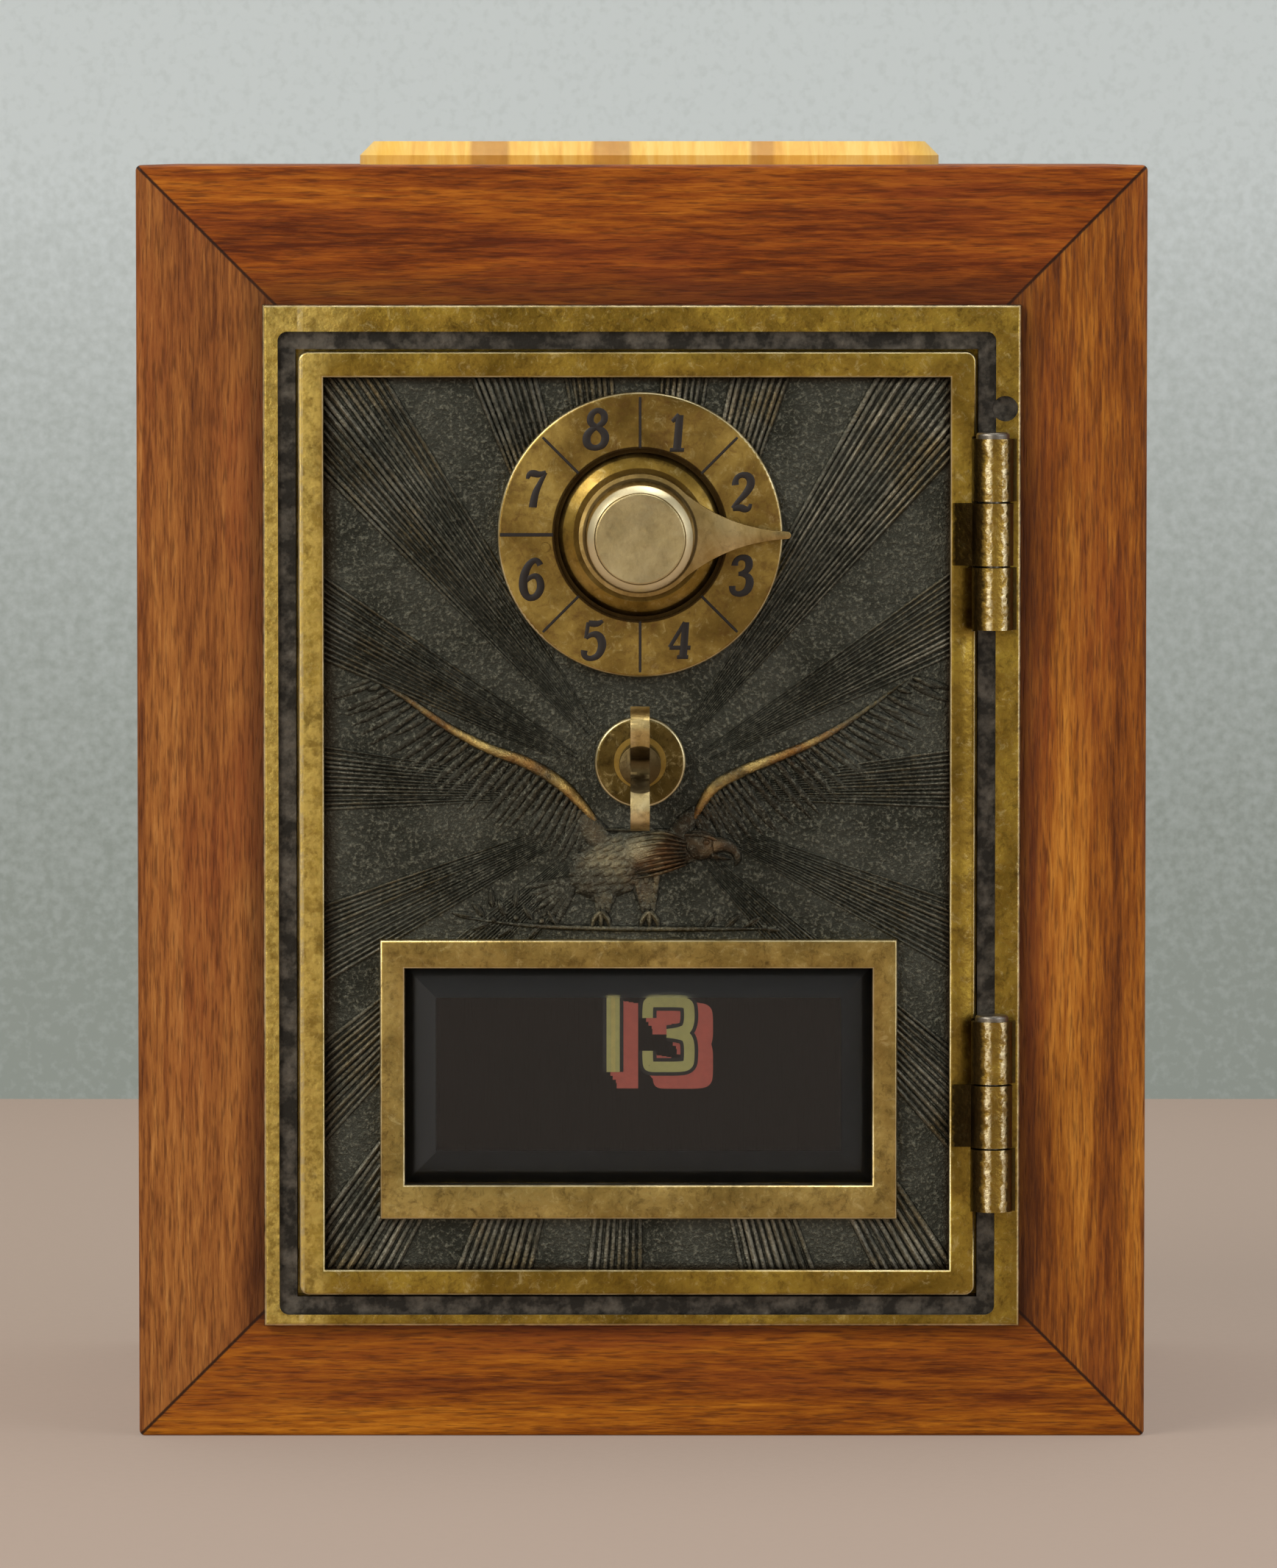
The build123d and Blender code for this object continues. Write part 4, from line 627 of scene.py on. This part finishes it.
def run_out(across, up, low, high):
    """How far a line from the sunburst's middle runs before it leaves a rectangle."""
    run_x = (high.x - SPINDLE_X if across > 0 else SPINDLE_X - low.x) / max(abs(across), 1e-6)
    run_z = (high.y - SUN_Z if up > 0 else SUN_Z - low.y) / max(abs(up), 1e-6)
    return min(run_x, run_z)


def ridge_runs(across, up, start, end):
    """The stretches of a ridge, from its start to its end, that dial and window border leave."""
    rise = DIAL_Z - SUN_Z
    miss = abs(rise * across)
    if up > 0 and miss < DIAL_CLEAR:
        start = max(start, rise * up + math.sqrt(DIAL_CLEAR**2 - miss**2))
    if up < 0:
        to_border = (SUN_Z - BORDER_HIGH.y) / -up
        if abs(SPINDLE_X + to_border * across) < BORDER_REACH:
            below = (run_out(across, up, BORDER_LOW, BORDER_HIGH) - 0.1, end)
            above = (start, to_border + 0.1)
            return [below, above] if abs(to_border * across) > EAGLE_REACH else [below]
    return [(start, end)]


def make_sunburst():
    """Ridges in bundles, cut by hand in the pattern, so that their widths and heights differ."""
    shape = bmesh.new()
    for middle, spread in BUNDLES:
        count = round(spread / RIDGE_PITCH)
        for ridge in range(count):
            turn = middle + (ridge - (count - 1) / 2) * RIDGE_PITCH + random.uniform(-0.08, 0.08)
            angle = math.radians(turn)
            across, up = math.cos(angle), math.sin(angle)
            reach = run_out(across, up, FIELD_LOW, FIELD_HIGH) + 0.1
            runs = ridge_runs(across, up, random.uniform(9.0, 14.0), reach)
            width = math.radians(RIDGE_PITCH) * random.uniform(0.36, 0.5)
            for start, end in runs:
                if end - start < 1.0:
                    continue
                half_way = (start + end) / 2
                x, z = SPINDLE_X + half_way * across, SUN_Z + half_way * up
                place = (
                    Matrix.Translation((x, FIELD_Y - 0.1, z))
                    @ Matrix.Rotation(math.pi / 2 - angle, 4, "Y")
                    @ Matrix.Diagonal((1, random.uniform(0.9, 1.5), 1, 1))
                )
                bmesh.ops.create_cone(
                    shape, cap_ends=True, segments=8, radius1=width * start, radius2=width * end,
                    depth=end - start, matrix=place,
                )
    keep_piece("sunburst_ridges", shape, [field_brass], "door", 50)


# ------------------------------------------------------------------ eagle
def add_blob(shape, place, size, turn, point, lift, detail):
    """A low swelling on the field: x, z of its middle, its length, width and height, its turn in
    degrees, how much it narrows to a point at its far end, and how far it is lifted."""
    made = bmesh.ops.create_uvsphere(shape, u_segments=detail, v_segments=max(6, detail // 2), radius=0.5)
    for vert in made["verts"]:
        along = vert.co.x + 0.5
        vert.co.z *= 1 - point * along
        vert.co.y *= 1 - 0.6 * point * along
    laid = (
        Matrix.Translation((place[0], FIELD_Y - lift, place[1]))
        @ Matrix.Rotation(math.radians(-turn), 4, "Y")
        @ Matrix.Diagonal((size[0], size[2] * 2, size[1], 1))
    )
    bmesh.ops.transform(shape, verts=made["verts"], matrix=laid)


def add_limb(shape, points, height, sides=10, lift=0.0):
    """A tapered bar along points, each of x, z and a half-width, swept as one closed skin that is
    height times as high as it is wide."""
    rings = []
    for i, (x, z, half) in enumerate(points):
        before, after = points[max(i - 1, 0)], points[min(i + 1, len(points) - 1)]
        along = Vector((after[0] - before[0], after[1] - before[1])).normalized()
        side = Vector((-along.y, along.x))
        ring = bmesh.ops.create_circle(shape, segments=sides, radius=1.0)["verts"]
        for vert in ring:
            out, rise = vert.co.x * half, vert.co.y * half * height
            vert.co = Vector((x + side.x * out, FIELD_Y - lift - rise, z + side.y * out))
        rings.append(ring)
    for first, second in zip(rings, rings[1:]):
        edges = {e for v in first for e in v.link_edges if e.other_vert(v) in first}
        edges |= {e for v in second for e in v.link_edges if e.other_vert(v) in second}
        bmesh.ops.bridge_loops(shape, edges=list(edges))
    for ring in (rings[0], rings[-1]):
        bmesh.ops.contextual_create(shape, geom=ring)


def between(a, b, c, d, t):
    """A value at t from b to c, on a smooth curve that comes from a and goes on to d."""
    return 0.5 * (2 * b + (c - a) * t + (2 * a - 5 * b + 4 * c - d) * t * t + (3 * b - a - 3 * c + d) * t**3)


def smooth_line(points, steps):
    """More points along a line of x, z and half-width, on curves that pass through each point."""
    made = []
    for i in range(len(points) - 1):
        near = [points[min(max(i + k, 0), len(points) - 1)] for k in (-1, 0, 1, 2)]
        for step in range(steps):
            made.append(tuple(between(*values, step / steps) for values in zip(*near)))
    return made + [points[-1]]


# the leading edges of the wings, from tip to shoulder: x, z and half-width
LEFT_WING = [
    (-33.9, 95.9, 0.12), (-29.7, 93.5, 0.45), (-24.5, 89.9, 0.6), (-19.4, 87.2, 0.72), (-14.2, 85.2, 0.85),
    (-10.2, 82.7, 0.88), (-7.4, 79.9, 0.7), (-5.4, 77.4, 0.4),
]
RIGHT_WING = [
    (33.9, 96.2, 0.12), (28.3, 92.1, 0.4), (23.7, 89.1, 0.55), (19.0, 86.8, 0.66), (12.9, 84.4, 0.8),
    (9.3, 82.4, 0.84), (7.5, 80.0, 0.65), (6.4, 77.9, 0.4),
]
# the rows of feathers: how many, their length, width and height, and how far below the edge
FEATHER_ROWS = [(28, 9.6, 1.35, 0.42, 0.2), (26, 6.0, 1.2, 0.55, 0.1), (24, 3.2, 1.05, 0.66, 0.0)]


def make_wings():
    """Two lifted wings: a rounded leading edge over three rows of feathers in low relief."""
    edges, feathers = bmesh.new(), bmesh.new()
    for side, wing in ((-1, LEFT_WING), (1, RIGHT_WING)):
        line = smooth_line(wing, 5)
        add_limb(edges, line, 1.15)
        for count, length, width, height, start in FEATHER_ROWS:
            for feather in range(count):
                share = (feather + 0.5) / count
                x, z, _ = line[int(share * (len(line) - 1) * 0.98)]
                reach = length * (0.35 + 0.65 * math.sin(math.pi * (0.12 + 0.72 * share)))
                lean = 20 + 50 * share + random.uniform(-4, 4)
                turn = math.radians(-lean if side > 0 else lean - 180)
                way = Vector((math.cos(turn), math.sin(turn)))
                middle = (x + way.x * (reach / 2 + start), z + way.y * (reach / 2 + start))
                add_blob(feathers, middle, (reach, width, height), math.degrees(turn), 0.4, 0.0, 10)
    keep_piece("eagle_wing_edges", edges, [wing_brass], "door", 60)
    keep_piece("eagle_feathers", feathers, [eagle_brass], "door", 60)


def make_eagle_body():
    """Breast with small overlapping feathers, neck, head and hooked beak, tail, legs and talons."""
    shape = bmesh.new()
    middle, slant = Vector((-3.0, 72.7)), math.radians(24)
    add_blob(shape, middle, (13.5, 8.4, 1.0), 24, 0.1, 0.0, 20)
    for row in range(9):
        for feather in range(7):
            along = -5.4 + row * 1.3 + random.uniform(-0.15, 0.15)
            out = -3.4 + feather * 1.12 + (row % 2) * 0.56
            fullness = 1 - (along / 6.4) ** 2 - (out / 4.0) ** 2
            if fullness > 0.02:
                x = middle.x + along * math.cos(slant) - out * math.sin(slant)
                z = middle.y + along * math.sin(slant) + out * math.cos(slant)
                add_blob(shape, (x, z), (2.0, 1.15, 0.26), 204, 0.45, 0.95 * math.sqrt(fullness) - 0.08, 8)
    # shoulders where the wings join, and the line of the back between them
    add_blob(shape, (-6.0, 76.6), (7.0, 4.2, 0.85), 128, 0.3, 0.0, 16)
    add_blob(shape, (5.4, 77.4), (6.4, 3.4, 0.75), 55, 0.3, 0.0, 16)
    back_line = [(-5.6, 77.0, 0.2), (-2.5, 76.9, 0.32), (1.0, 76.8, 0.25), (3.4, 76.6, 0.12)]
    add_limb(shape, smooth_line(back_line, 3), 2.4)
    # neck, with feathers swept back from the head
    neck = [(-4.2, 73.0, 1.2), (-0.8, 73.7, 3.0), (2.4, 74.3, 2.9), (6.8, 74.9, 1.9)]
    add_limb(shape, smooth_line(neck, 4), 0.42, 16)
    for feather in range(9):
        z = 71.3 + feather * 0.64
        tip = random.uniform(-2.2, -0.2)
        line = smooth_line([(tip, z - 0.6, 0.06), (2.2, z + 0.15, 0.27), (5.6, z * 0.6 + 29.8, 0.14)], 4)
        add_limb(shape, line, 1.5, 8, 0.68 + 0.55 * math.sin(math.pi * (feather + 0.5) / 9))
    # head, brow, eye and hooked beak
    add_blob(shape, (7.3, 75.1), (5.2, 4.3, 1.35), -6, 0.05, 0.0, 18)
    brow = [(5.4, 76.3, 0.15), (7.4, 76.3, 0.34), (9.4, 75.7, 0.22)]
    add_limb(shape, smooth_line(brow, 3), 1.4, 8, 0.85)
    add_blob(shape, (8.1, 75.4), (0.9, 0.75, 0.3), 0, 0.0, 1.2, 8)
    upper_beak = [(9.0, 75.0, 1.2), (10.5, 75.0, 0.95), (11.7, 74.3, 0.75), (12.1, 73.2, 0.5)]
    upper_beak.append((11.7, 72.3, 0.12))
    add_limb(shape, smooth_line(upper_beak, 4), 1.05, 12)
    lower_beak = [(8.8, 73.7, 0.5), (10.4, 73.4, 0.4), (11.3, 73.2, 0.15)]
    add_limb(shape, smooth_line(lower_beak, 3), 1.6, 8)
    # tail, fanned to the lower left
    for feather in range(7):
        turn = math.radians(190 + feather * 9)
        x, z = -8.0 + 3.6 * math.cos(turn), 70.8 + 3.6 * math.sin(turn)
        add_blob(shape, (x, z), (7.4, 1.25, 0.42), math.degrees(turn), 0.1, 0.0, 10)
    # feathered thighs, and talons closed on the branch
    for x, lean in ((-4.6, -0.9), (0.6, 0.6)):
        add_blob(shape, (x, 69.2), (6.4, 4.6, 0.85), 270 + 6 * lean, 0.5, 0.0, 14)
        for row in range(4):
            for feather in (-1, 0, 1):
                place = (x + feather * (1.25 - row * 0.2) + lean * row * 0.1, 70.7 - row * 1.15)
                add_blob(shape, place, (1.9, 1.1, 0.26), 270, 0.45, 0.62 - row * 0.1, 8)
        foot = x + lean * 0.6
        for toe in (-1, 0, 1):
            talon = [(foot, 66.6, 0.45), (foot + toe * 0.95, 65.5, 0.45), (foot + toe * 1.1, 63.9, 0.14)]
            add_limb(shape, smooth_line(talon, 3), 1.9, 8)
    keep_piece("eagle_body", shape, [eagle_brass], "door", 60)


def make_branch():
    """The branch under the talons, with leaves and berries to the left and a few leaves to the right."""
    shape = bmesh.new()
    stem = [(-22.0, 65.8, 0.2), (-15.0, 64.9, 0.34), (-6.0, 64.5, 0.42), (6.0, 64.4, 0.4), (17.0, 64.4, 0.2)]
    add_limb(shape, smooth_line(stem, 4), 1.5)
    leaves = [  # x, z and turn
        (-20.6, 66.9, 128), (-20.4, 64.7, 200), (-17.6, 67.0, 112), (-17.2, 64.0, 215), (-14.4, 66.6, 122),
        (-22.6, 66.2, 170), (-13.6, 63.9, 225), (-11.4, 66.0, 118), (-18.9, 68.4, 95), (-15.8, 68.3, 80),
        (8.6, 65.5, 55), (11.4, 65.4, 42), (14.0, 65.3, 30), (16.4, 64.3, -6),
    ]
    for x, z, turn in leaves:
        add_blob(shape, (x, z), (2.8, 1.2, 0.5), turn, 0.35, 0.0, 10)
        way = Vector((math.cos(math.radians(turn)), math.sin(math.radians(turn)))) * 1.2
        vein = [(x - way.x, z - way.y, 0.08), (x, z, 0.12), (x + way.x, z + way.y, 0.04)]
        add_limb(shape, vein, 1.0, 6, 0.45)
    for x, z in ((-18.6, 65.6), (-15.8, 65.8), (-12.6, 65.4)):
        add_blob(shape, (x, z), (1.0, 1.0, 0.65), 0, 0.0, 0.0, 10)
    keep_piece("eagle_branch", shape, [eagle_brass], "door", 60)


# ------------------------------------------------------------------ painted figures
# each figure as brush strokes of x, z and half-width, one figure high and about 0.6 wide
FIGURES = {
    1: [
        [(0.32, 0.03, 0.085), (0.32, 0.5, 0.085), (0.32, 0.95, 0.08)],
        [(0.13, 0.78, 0.03), (0.22, 0.85, 0.045), (0.31, 0.96, 0.05)],
        [(0.13, 0.02, 0.03), (0.32, 0.02, 0.035), (0.51, 0.02, 0.03)],
    ],
    2: [
        [
            (0.12, 0.70, 0.075), (0.10, 0.86, 0.05), (0.26, 0.99, 0.05), (0.48, 0.94, 0.08),
            (0.56, 0.72, 0.09), (0.40, 0.44, 0.07), (0.22, 0.26, 0.045), (0.10, 0.08, 0.035),
        ],
        [(0.10, 0.07, 0.05), (0.28, 0.12, 0.075), (0.44, 0.04, 0.07), (0.56, 0.08, 0.035), (0.57, 0.2, 0.02)],
    ],
    3: [
        [
            (0.12, 0.76, 0.07), (0.12, 0.90, 0.05), (0.28, 1.0, 0.05), (0.48, 0.94, 0.08),
            (0.52, 0.72, 0.08), (0.40, 0.56, 0.05), (0.24, 0.54, 0.03),
        ],
        [
            (0.24, 0.54, 0.03), (0.44, 0.54, 0.05), (0.58, 0.36, 0.09), (0.52, 0.08, 0.085),
            (0.30, -0.02, 0.05), (0.10, 0.06, 0.05), (0.10, 0.22, 0.07),
        ],
    ],
    4: [
        [(0.42, 0.03, 0.08), (0.42, 0.5, 0.08), (0.42, 0.95, 0.07)],
        [(0.40, 0.95, 0.035), (0.22, 0.62, 0.03), (0.04, 0.28, 0.03)],
        [(0.04, 0.27, 0.035), (0.3, 0.27, 0.035), (0.6, 0.27, 0.035)],
        [(0.26, 0.02, 0.03), (0.42, 0.02, 0.03), (0.56, 0.02, 0.03)],
    ],
    5: [
        [(0.16, 0.93, 0.05), (0.32, 0.90, 0.07), (0.46, 0.92, 0.05), (0.54, 0.99, 0.02)],
        [(0.16, 0.95, 0.03), (0.14, 0.75, 0.03), (0.13, 0.52, 0.03)],
        [
            (0.13, 0.52, 0.03), (0.24, 0.64, 0.045), (0.48, 0.62, 0.08), (0.60, 0.34, 0.095),
            (0.50, 0.04, 0.07), (0.26, -0.04, 0.045), (0.09, 0.06, 0.05), (0.11, 0.2, 0.07),
        ],
    ],
    6: [
        [
            (0.50, 0.86, 0.06), (0.42, 1.02, 0.045), (0.22, 0.94, 0.07), (0.08, 0.62, 0.095),
            (0.08, 0.22, 0.095), (0.24, -0.04, 0.06), (0.48, 0.02, 0.075), (0.58, 0.28, 0.085),
            (0.48, 0.56, 0.065), (0.28, 0.58, 0.045), (0.14, 0.42, 0.035),
        ],
    ],
    7: [
        [
            (0.08, 0.78, 0.02), (0.10, 0.92, 0.055), (0.24, 0.93, 0.075), (0.40, 0.88, 0.06),
            (0.56, 0.96, 0.03),
        ],
        [(0.55, 0.95, 0.03), (0.42, 0.66, 0.045), (0.30, 0.36, 0.08), (0.28, 0.02, 0.085)],
    ],
    8: [
        [
            (0.30, 0.55, 0.045), (0.12, 0.62, 0.07), (0.12, 0.88, 0.07), (0.30, 1.02, 0.045),
            (0.50, 0.90, 0.07), (0.50, 0.64, 0.07), (0.30, 0.55, 0.045),
        ],
        [
            (0.30, 0.55, 0.045), (0.06, 0.42, 0.085), (0.06, 0.08, 0.085), (0.30, -0.04, 0.045),
            (0.56, 0.08, 0.085), (0.56, 0.42, 0.085), (0.30, 0.55, 0.045),
        ],
    ],
}
# the box number is drawn with block figures, whose strokes are nearly even
BLOCK_FIGURES = {
    1: [[(0.0, 0.0, 0.09), (0.0, 0.5, 0.09), (0.0, 1.03, 0.09)]],
    3: [
        [
            (0.0, 0.74, 0.072), (0.0, 0.93, 0.072), (0.03, 0.96, 0.072), (0.2, 0.96, 0.072),
            (0.44, 0.96, 0.072), (0.55, 0.94, 0.072), (0.57, 0.86, 0.072), (0.57, 0.66, 0.072),
            (0.5, 0.54, 0.072), (0.26, 0.53, 0.06),
        ],
        [
            (0.26, 0.53, 0.06), (0.5, 0.52, 0.072), (0.57, 0.42, 0.072), (0.57, 0.17, 0.072),
            (0.55, 0.09, 0.072), (0.44, 0.07, 0.072), (0.2, 0.07, 0.072), (0.03, 0.07, 0.072),
            (0.0, 0.1, 0.072), (0.0, 0.29, 0.072),
        ],
    ],
}


def paint_strokes(strokes, low_corner, tall, wider):
    """Brush strokes as rounded bars in the x-z plane, returned as a mesh in millimetres."""
    curve = bpy.data.curves.new("strokes", "CURVE")
    curve.dimensions = "3D"
    curve.bevel_depth = 1.0
    curve.bevel_resolution = 2
    curve.resolution_u = 5
    curve.use_fill_caps = True
    for stroke in strokes:
        line = curve.splines.new("NURBS")
        line.points.add(len(stroke) - 1)
        for point, (x, z, half) in zip(line.points, stroke):
            point.co = (low_corner[0] + x * tall, low_corner[1] + z * tall, 0, 1)
            point.radius = half * tall + wider
        line.order_u = 3
        line.use_endpoint_u = True
    holder = bpy.data.objects.new("strokes", curve)
    mesh = bpy.data.meshes.new_from_object(holder)
    bpy.data.objects.remove(holder)
    bpy.data.curves.remove(curve)
    return mesh


def add_figure(shape, strokes, low_corner, tall, face_y, proud, wider, outwards, lean=0.0):
    """Lay a figure's strokes on a face at face_y as paint that stands about proud millimetres out
    of it, each stroke wider by an amount, with the figure leaning to the right."""
    mesh = paint_strokes(strokes, low_corner, tall, wider)
    usual_half = 0.07 * tall  # half the width of most strokes
    for vert in mesh.vertices:
        x, z, rise = vert.co
        vert.co = Vector((x + lean * (z - low_corner[1]), face_y + outwards * rise / usual_half * proud, z))
    shape.from_mesh(mesh)
    bpy.data.meshes.remove(mesh)


DIAL_FIGURES = {  # the middle of each figure, measured on the dial
    8: (-5.6, 127.4), 1: (4.6, 127.0), 2: (12.6, 119.4), 3: (12.5, 109.0),
    4: (4.9, 101.0), 5: (-6.1, 101.0), 6: (-13.7, 108.6), 7: (-13.3, 119.8),
}


def make_dial_figures():
    """The numerals of the dial, painted black."""
    shape = bmesh.new()
    tall = 4.7
    for figure, (x, z) in DIAL_FIGURES.items():
        corner = (x - 0.36 * tall, z - 0.5 * tall)
        add_figure(shape, FIGURES[figure], corner, tall, DIAL_Y, 0.06, wider=0.11, outwards=-1, lean=0.08)
    keep_piece("dial_figures", shape, [black_enamel], "door", 60)


# the dividing lines: how far from the dial's middle they start, and each width and end
LINE_START = 10.9
FINE_LINE = (0.34, 17.3)
BOLD_LINE = (0.5, 17.6)


def make_dial_lines():
    """Black filling in the eight dividing lines, which stands just proud of the brass."""
    shape = bmesh.new()
    for turn in range(0, 360, 45):
        width, end = BOLD_LINE if turn == 180 else FINE_LINE
        angle = math.radians(turn)
        out = (LINE_START + end) / 2
        x, z = SPINDLE_X + out * math.cos(angle), DIAL_Z + out * math.sin(angle)
        place = (
            Matrix.Translation((x, DIAL_Y + 0.1, z))
            @ Matrix.Rotation(-angle, 4, "Y")
            @ Matrix.Diagonal((end - LINE_START, 0.26, width, 1))
        )
        bmesh.ops.create_cube(shape, size=1.0, matrix=place)
    bmesh.ops.bevel(
        shape, geom=shape.edges[:], offset=0.05, affect="EDGES", segments=1, profile=0.5, material=-1
    )
    keep_piece("dial_lines", shape, [black_enamel], "door", 30)


NUMBER_TALL = 9.25
NUMBER_FOOT = 46.0
NUMBER_FIGURES = [(1, -3.6), (3, 0.75)]  # each figure and where its left side is
# how far right and down each coat of the block shade is laid
SHADE_STEPS = [
    (0.5, 0.5), (1.1, 0.6), (1.7, 0.7), (2.3, 0.8), (2.3, 1.4), (2.3, 2.1), (1.7, 1.9), (1.2, 1.4),
    (0.8, 1.0), (1.3, 2.1),
]


def make_box_number():
    """The box number, painted on the back of the glass: gold, edged in black, with a block shade
    in red thrown down to the right. The gold is nearest to the glass, and the shade is behind it."""
    gold, edge, shade = bmesh.new(), bmesh.new(), bmesh.new()
    for figure, x in NUMBER_FIGURES:
        coats = [(gold, 0, 0, 0.02, 0.0), (edge, 0, 0, 0.07, 0.46)]
        coats += [(shade, *step, 0.14 + i * 0.012, 0.02) for i, step in enumerate(SHADE_STEPS)]
        for shape, right, down, behind, wider in coats:
            corner = (x + right, NUMBER_FOOT - down)
            face_y = GLASS_BACK_Y + behind
            add_figure(shape, BLOCK_FIGURES[figure], corner, NUMBER_TALL, face_y, 0.018, wider, outwards=1)
    keep_piece("number_gold", gold, [gold_enamel], "door", 60)
    keep_piece("number_edge", edge, [black_enamel], "door", 60)
    keep_piece("number_shade", shade, [red_enamel], "door", 60)


def make_eased_pieces():
    """The pieces that hands turn, with their edges worn round."""
    make_eased_copy("pointer_knob", knob_brass, "dial", 0.22)
    make_eased_copy("thumb_turn", turn_brass, "latch", 0.4)


make_door_casting()
make_field_ground()
make_sunburst()
make_wings()
make_eagle_body()
make_branch()
make_dial_figures()
make_dial_lines()
make_box_number()
make_eased_pieces()


# ------------------------------------------------------------------ floor, backdrop and light
def wall_paint(name, axis, near, far, fall):
    """A painted, finely rough surface that keeps its own colour for the camera, and in glass and
    metal, and goes from one tone to another along an axis. near and far are each a place in metres
    and a colour, and fall bends the change between them. Its back is clear, so that the object can
    be seen from behind it."""
    material, tree = new_material(name)
    place = add_node(tree, "TexCoord").outputs["Object"]
    along = add_node(tree, "SeparateXYZ", (place,)).outputs[axis]
    speckle = add_node(tree, "TexNoise", {"Vector": place, "Scale": 700.0, "Detail": 4.0})
    tone = add_node(tree, "MapRange", (along, near[0], far[0], 0.0, 1.0))
    tone = add_node(tree, "Math", (tone, fall), operation="POWER")
    paint = lay_coat(tree, near[1], far[1], wander(tree, tone, speckle, 0.14))
    lit = add_node(tree, "BsdfDiffuse", {"Color": paint})
    plain = add_node(tree, "Emission", {"Color": paint, "Strength": 1.0})
    path = add_node(tree, "LightPath").outputs
    seen = (path["Is Camera Ray"], path["Is Glossy Ray"])
    seen = add_node(tree, "Math", seen, operation="MAXIMUM")
    seen = add_node(tree, "Math", (seen, path["Is Transmission Ray"]), operation="MAXIMUM")
    share = add_node(tree, "Math", (seen, 0.5), operation="MULTIPLY")
    front = add_node(tree, "MixShader", (share, lit, plain))
    back = add_node(tree, "NewGeometry").outputs["Backfacing"]
    both = add_node(tree, "MixShader", (back, front, add_node(tree, "BsdfTransparent")))
    add_node(tree, "OutputMaterial", {"Surface": both})
    return material


def make_stage(name, corners, paint):
    """A flat sheet through its corners, in metres, that isn't part of the object."""
    shape = bmesh.new()
    shape.faces.new([shape.verts.new(corner) for corner in corners])
    mesh = bpy.data.meshes.new(name)
    shape.to_mesh(mesh)
    shape.free()
    mesh.materials.append(paint)
    link_object(name, mesh)


REACH = 2.5  # how far the floor and the backdrop go to each side, in metres
WALL_Y = 0.401
# the floor is a little lighter at the front, and the backdrop is darker at its foot and lighter towards its
# top: a painted fall of the light
floor_paint = wall_paint("floor_paint", 1, (-0.12, "#b9a698"), (0.12, "#b3a193"), 1.0)
backdrop_paint = wall_paint("backdrop_paint", 2, (0.0, "#959c95"), (0.165, "#ccd3d2"), 1.6)
floor_corners = [(-REACH, -REACH, 0), (REACH, -REACH, 0), (REACH, REACH, 0), (-REACH, REACH, 0)]
wall_corners = [(-REACH, WALL_Y, 0), (REACH, WALL_Y, 0), (REACH, WALL_Y, REACH), (-REACH, WALL_Y, REACH)]
make_stage("floor", floor_corners, floor_paint)
make_stage("backdrop", wall_corners, backdrop_paint)


FRONT_MIDDLE = (0, -0.05, 0.08)  # of the case, in metres


def add_softbox(name, place, size, power, colour="#ffffff"):
    """A soft rectangular lamp that points at the middle of the case's front."""
    lamp = bpy.data.lights.new(name, "AREA")
    lamp.shape = "RECTANGLE"
    lamp.size, lamp.size_y = size
    lamp.energy = power
    lamp.color = linear(colour)[:3]
    holder = link_object(name, lamp)
    holder.location = place
    towards = Vector(FRONT_MIDDLE) - Vector(place)
    holder.rotation_euler = towards.to_track_quat("-Z", "Y").to_euler()


add_softbox("window_light", (-0.9, -0.9, 0.95), (0.9, 0.7), 11.0, "#fffaf2")
add_softbox("side_strip", (-0.62, -1.5, 0.2), (0.3, 0.9), 3.0, "#fffaf2")
add_softbox("fill_light", (1.1, -0.8, 0.5), (0.8, 0.8), 4.5, "#f4f6ff")
add_softbox("top_light", (0.1, 0.1, 1.1), (0.9, 0.6), 4.0)

world = bpy.data.worlds.new("soft_room")
bpy.context.scene.world = world
world.use_nodes = True
world.node_tree.nodes.clear()
sky = add_node(world.node_tree, "Background", {"Color": "#e9e7e3", "Strength": 0.42})
add_node(world.node_tree, "OutputWorld", {"Surface": sky})

# the camera stands 1.3 m in front, about level with the case's top, and looks slightly down
CAMERA_PLACE = (-0.0004, -1.3168, 0.1627)
CAMERA_DROP = 3.62  # degrees below level
camera_data = bpy.data.cameras.new("camera")
camera_data.lens = 231.3
camera_data.sensor_width = 36
camera_data.clip_start, camera_data.clip_end = 0.05, 20
camera = link_object("camera", camera_data)
camera.location = CAMERA_PLACE
camera.rotation_euler = (math.radians(90 - CAMERA_DROP), 0, 0)
bpy.context.scene.camera = camera
bpy.context.scene.view_settings.view_transform = "Standard"
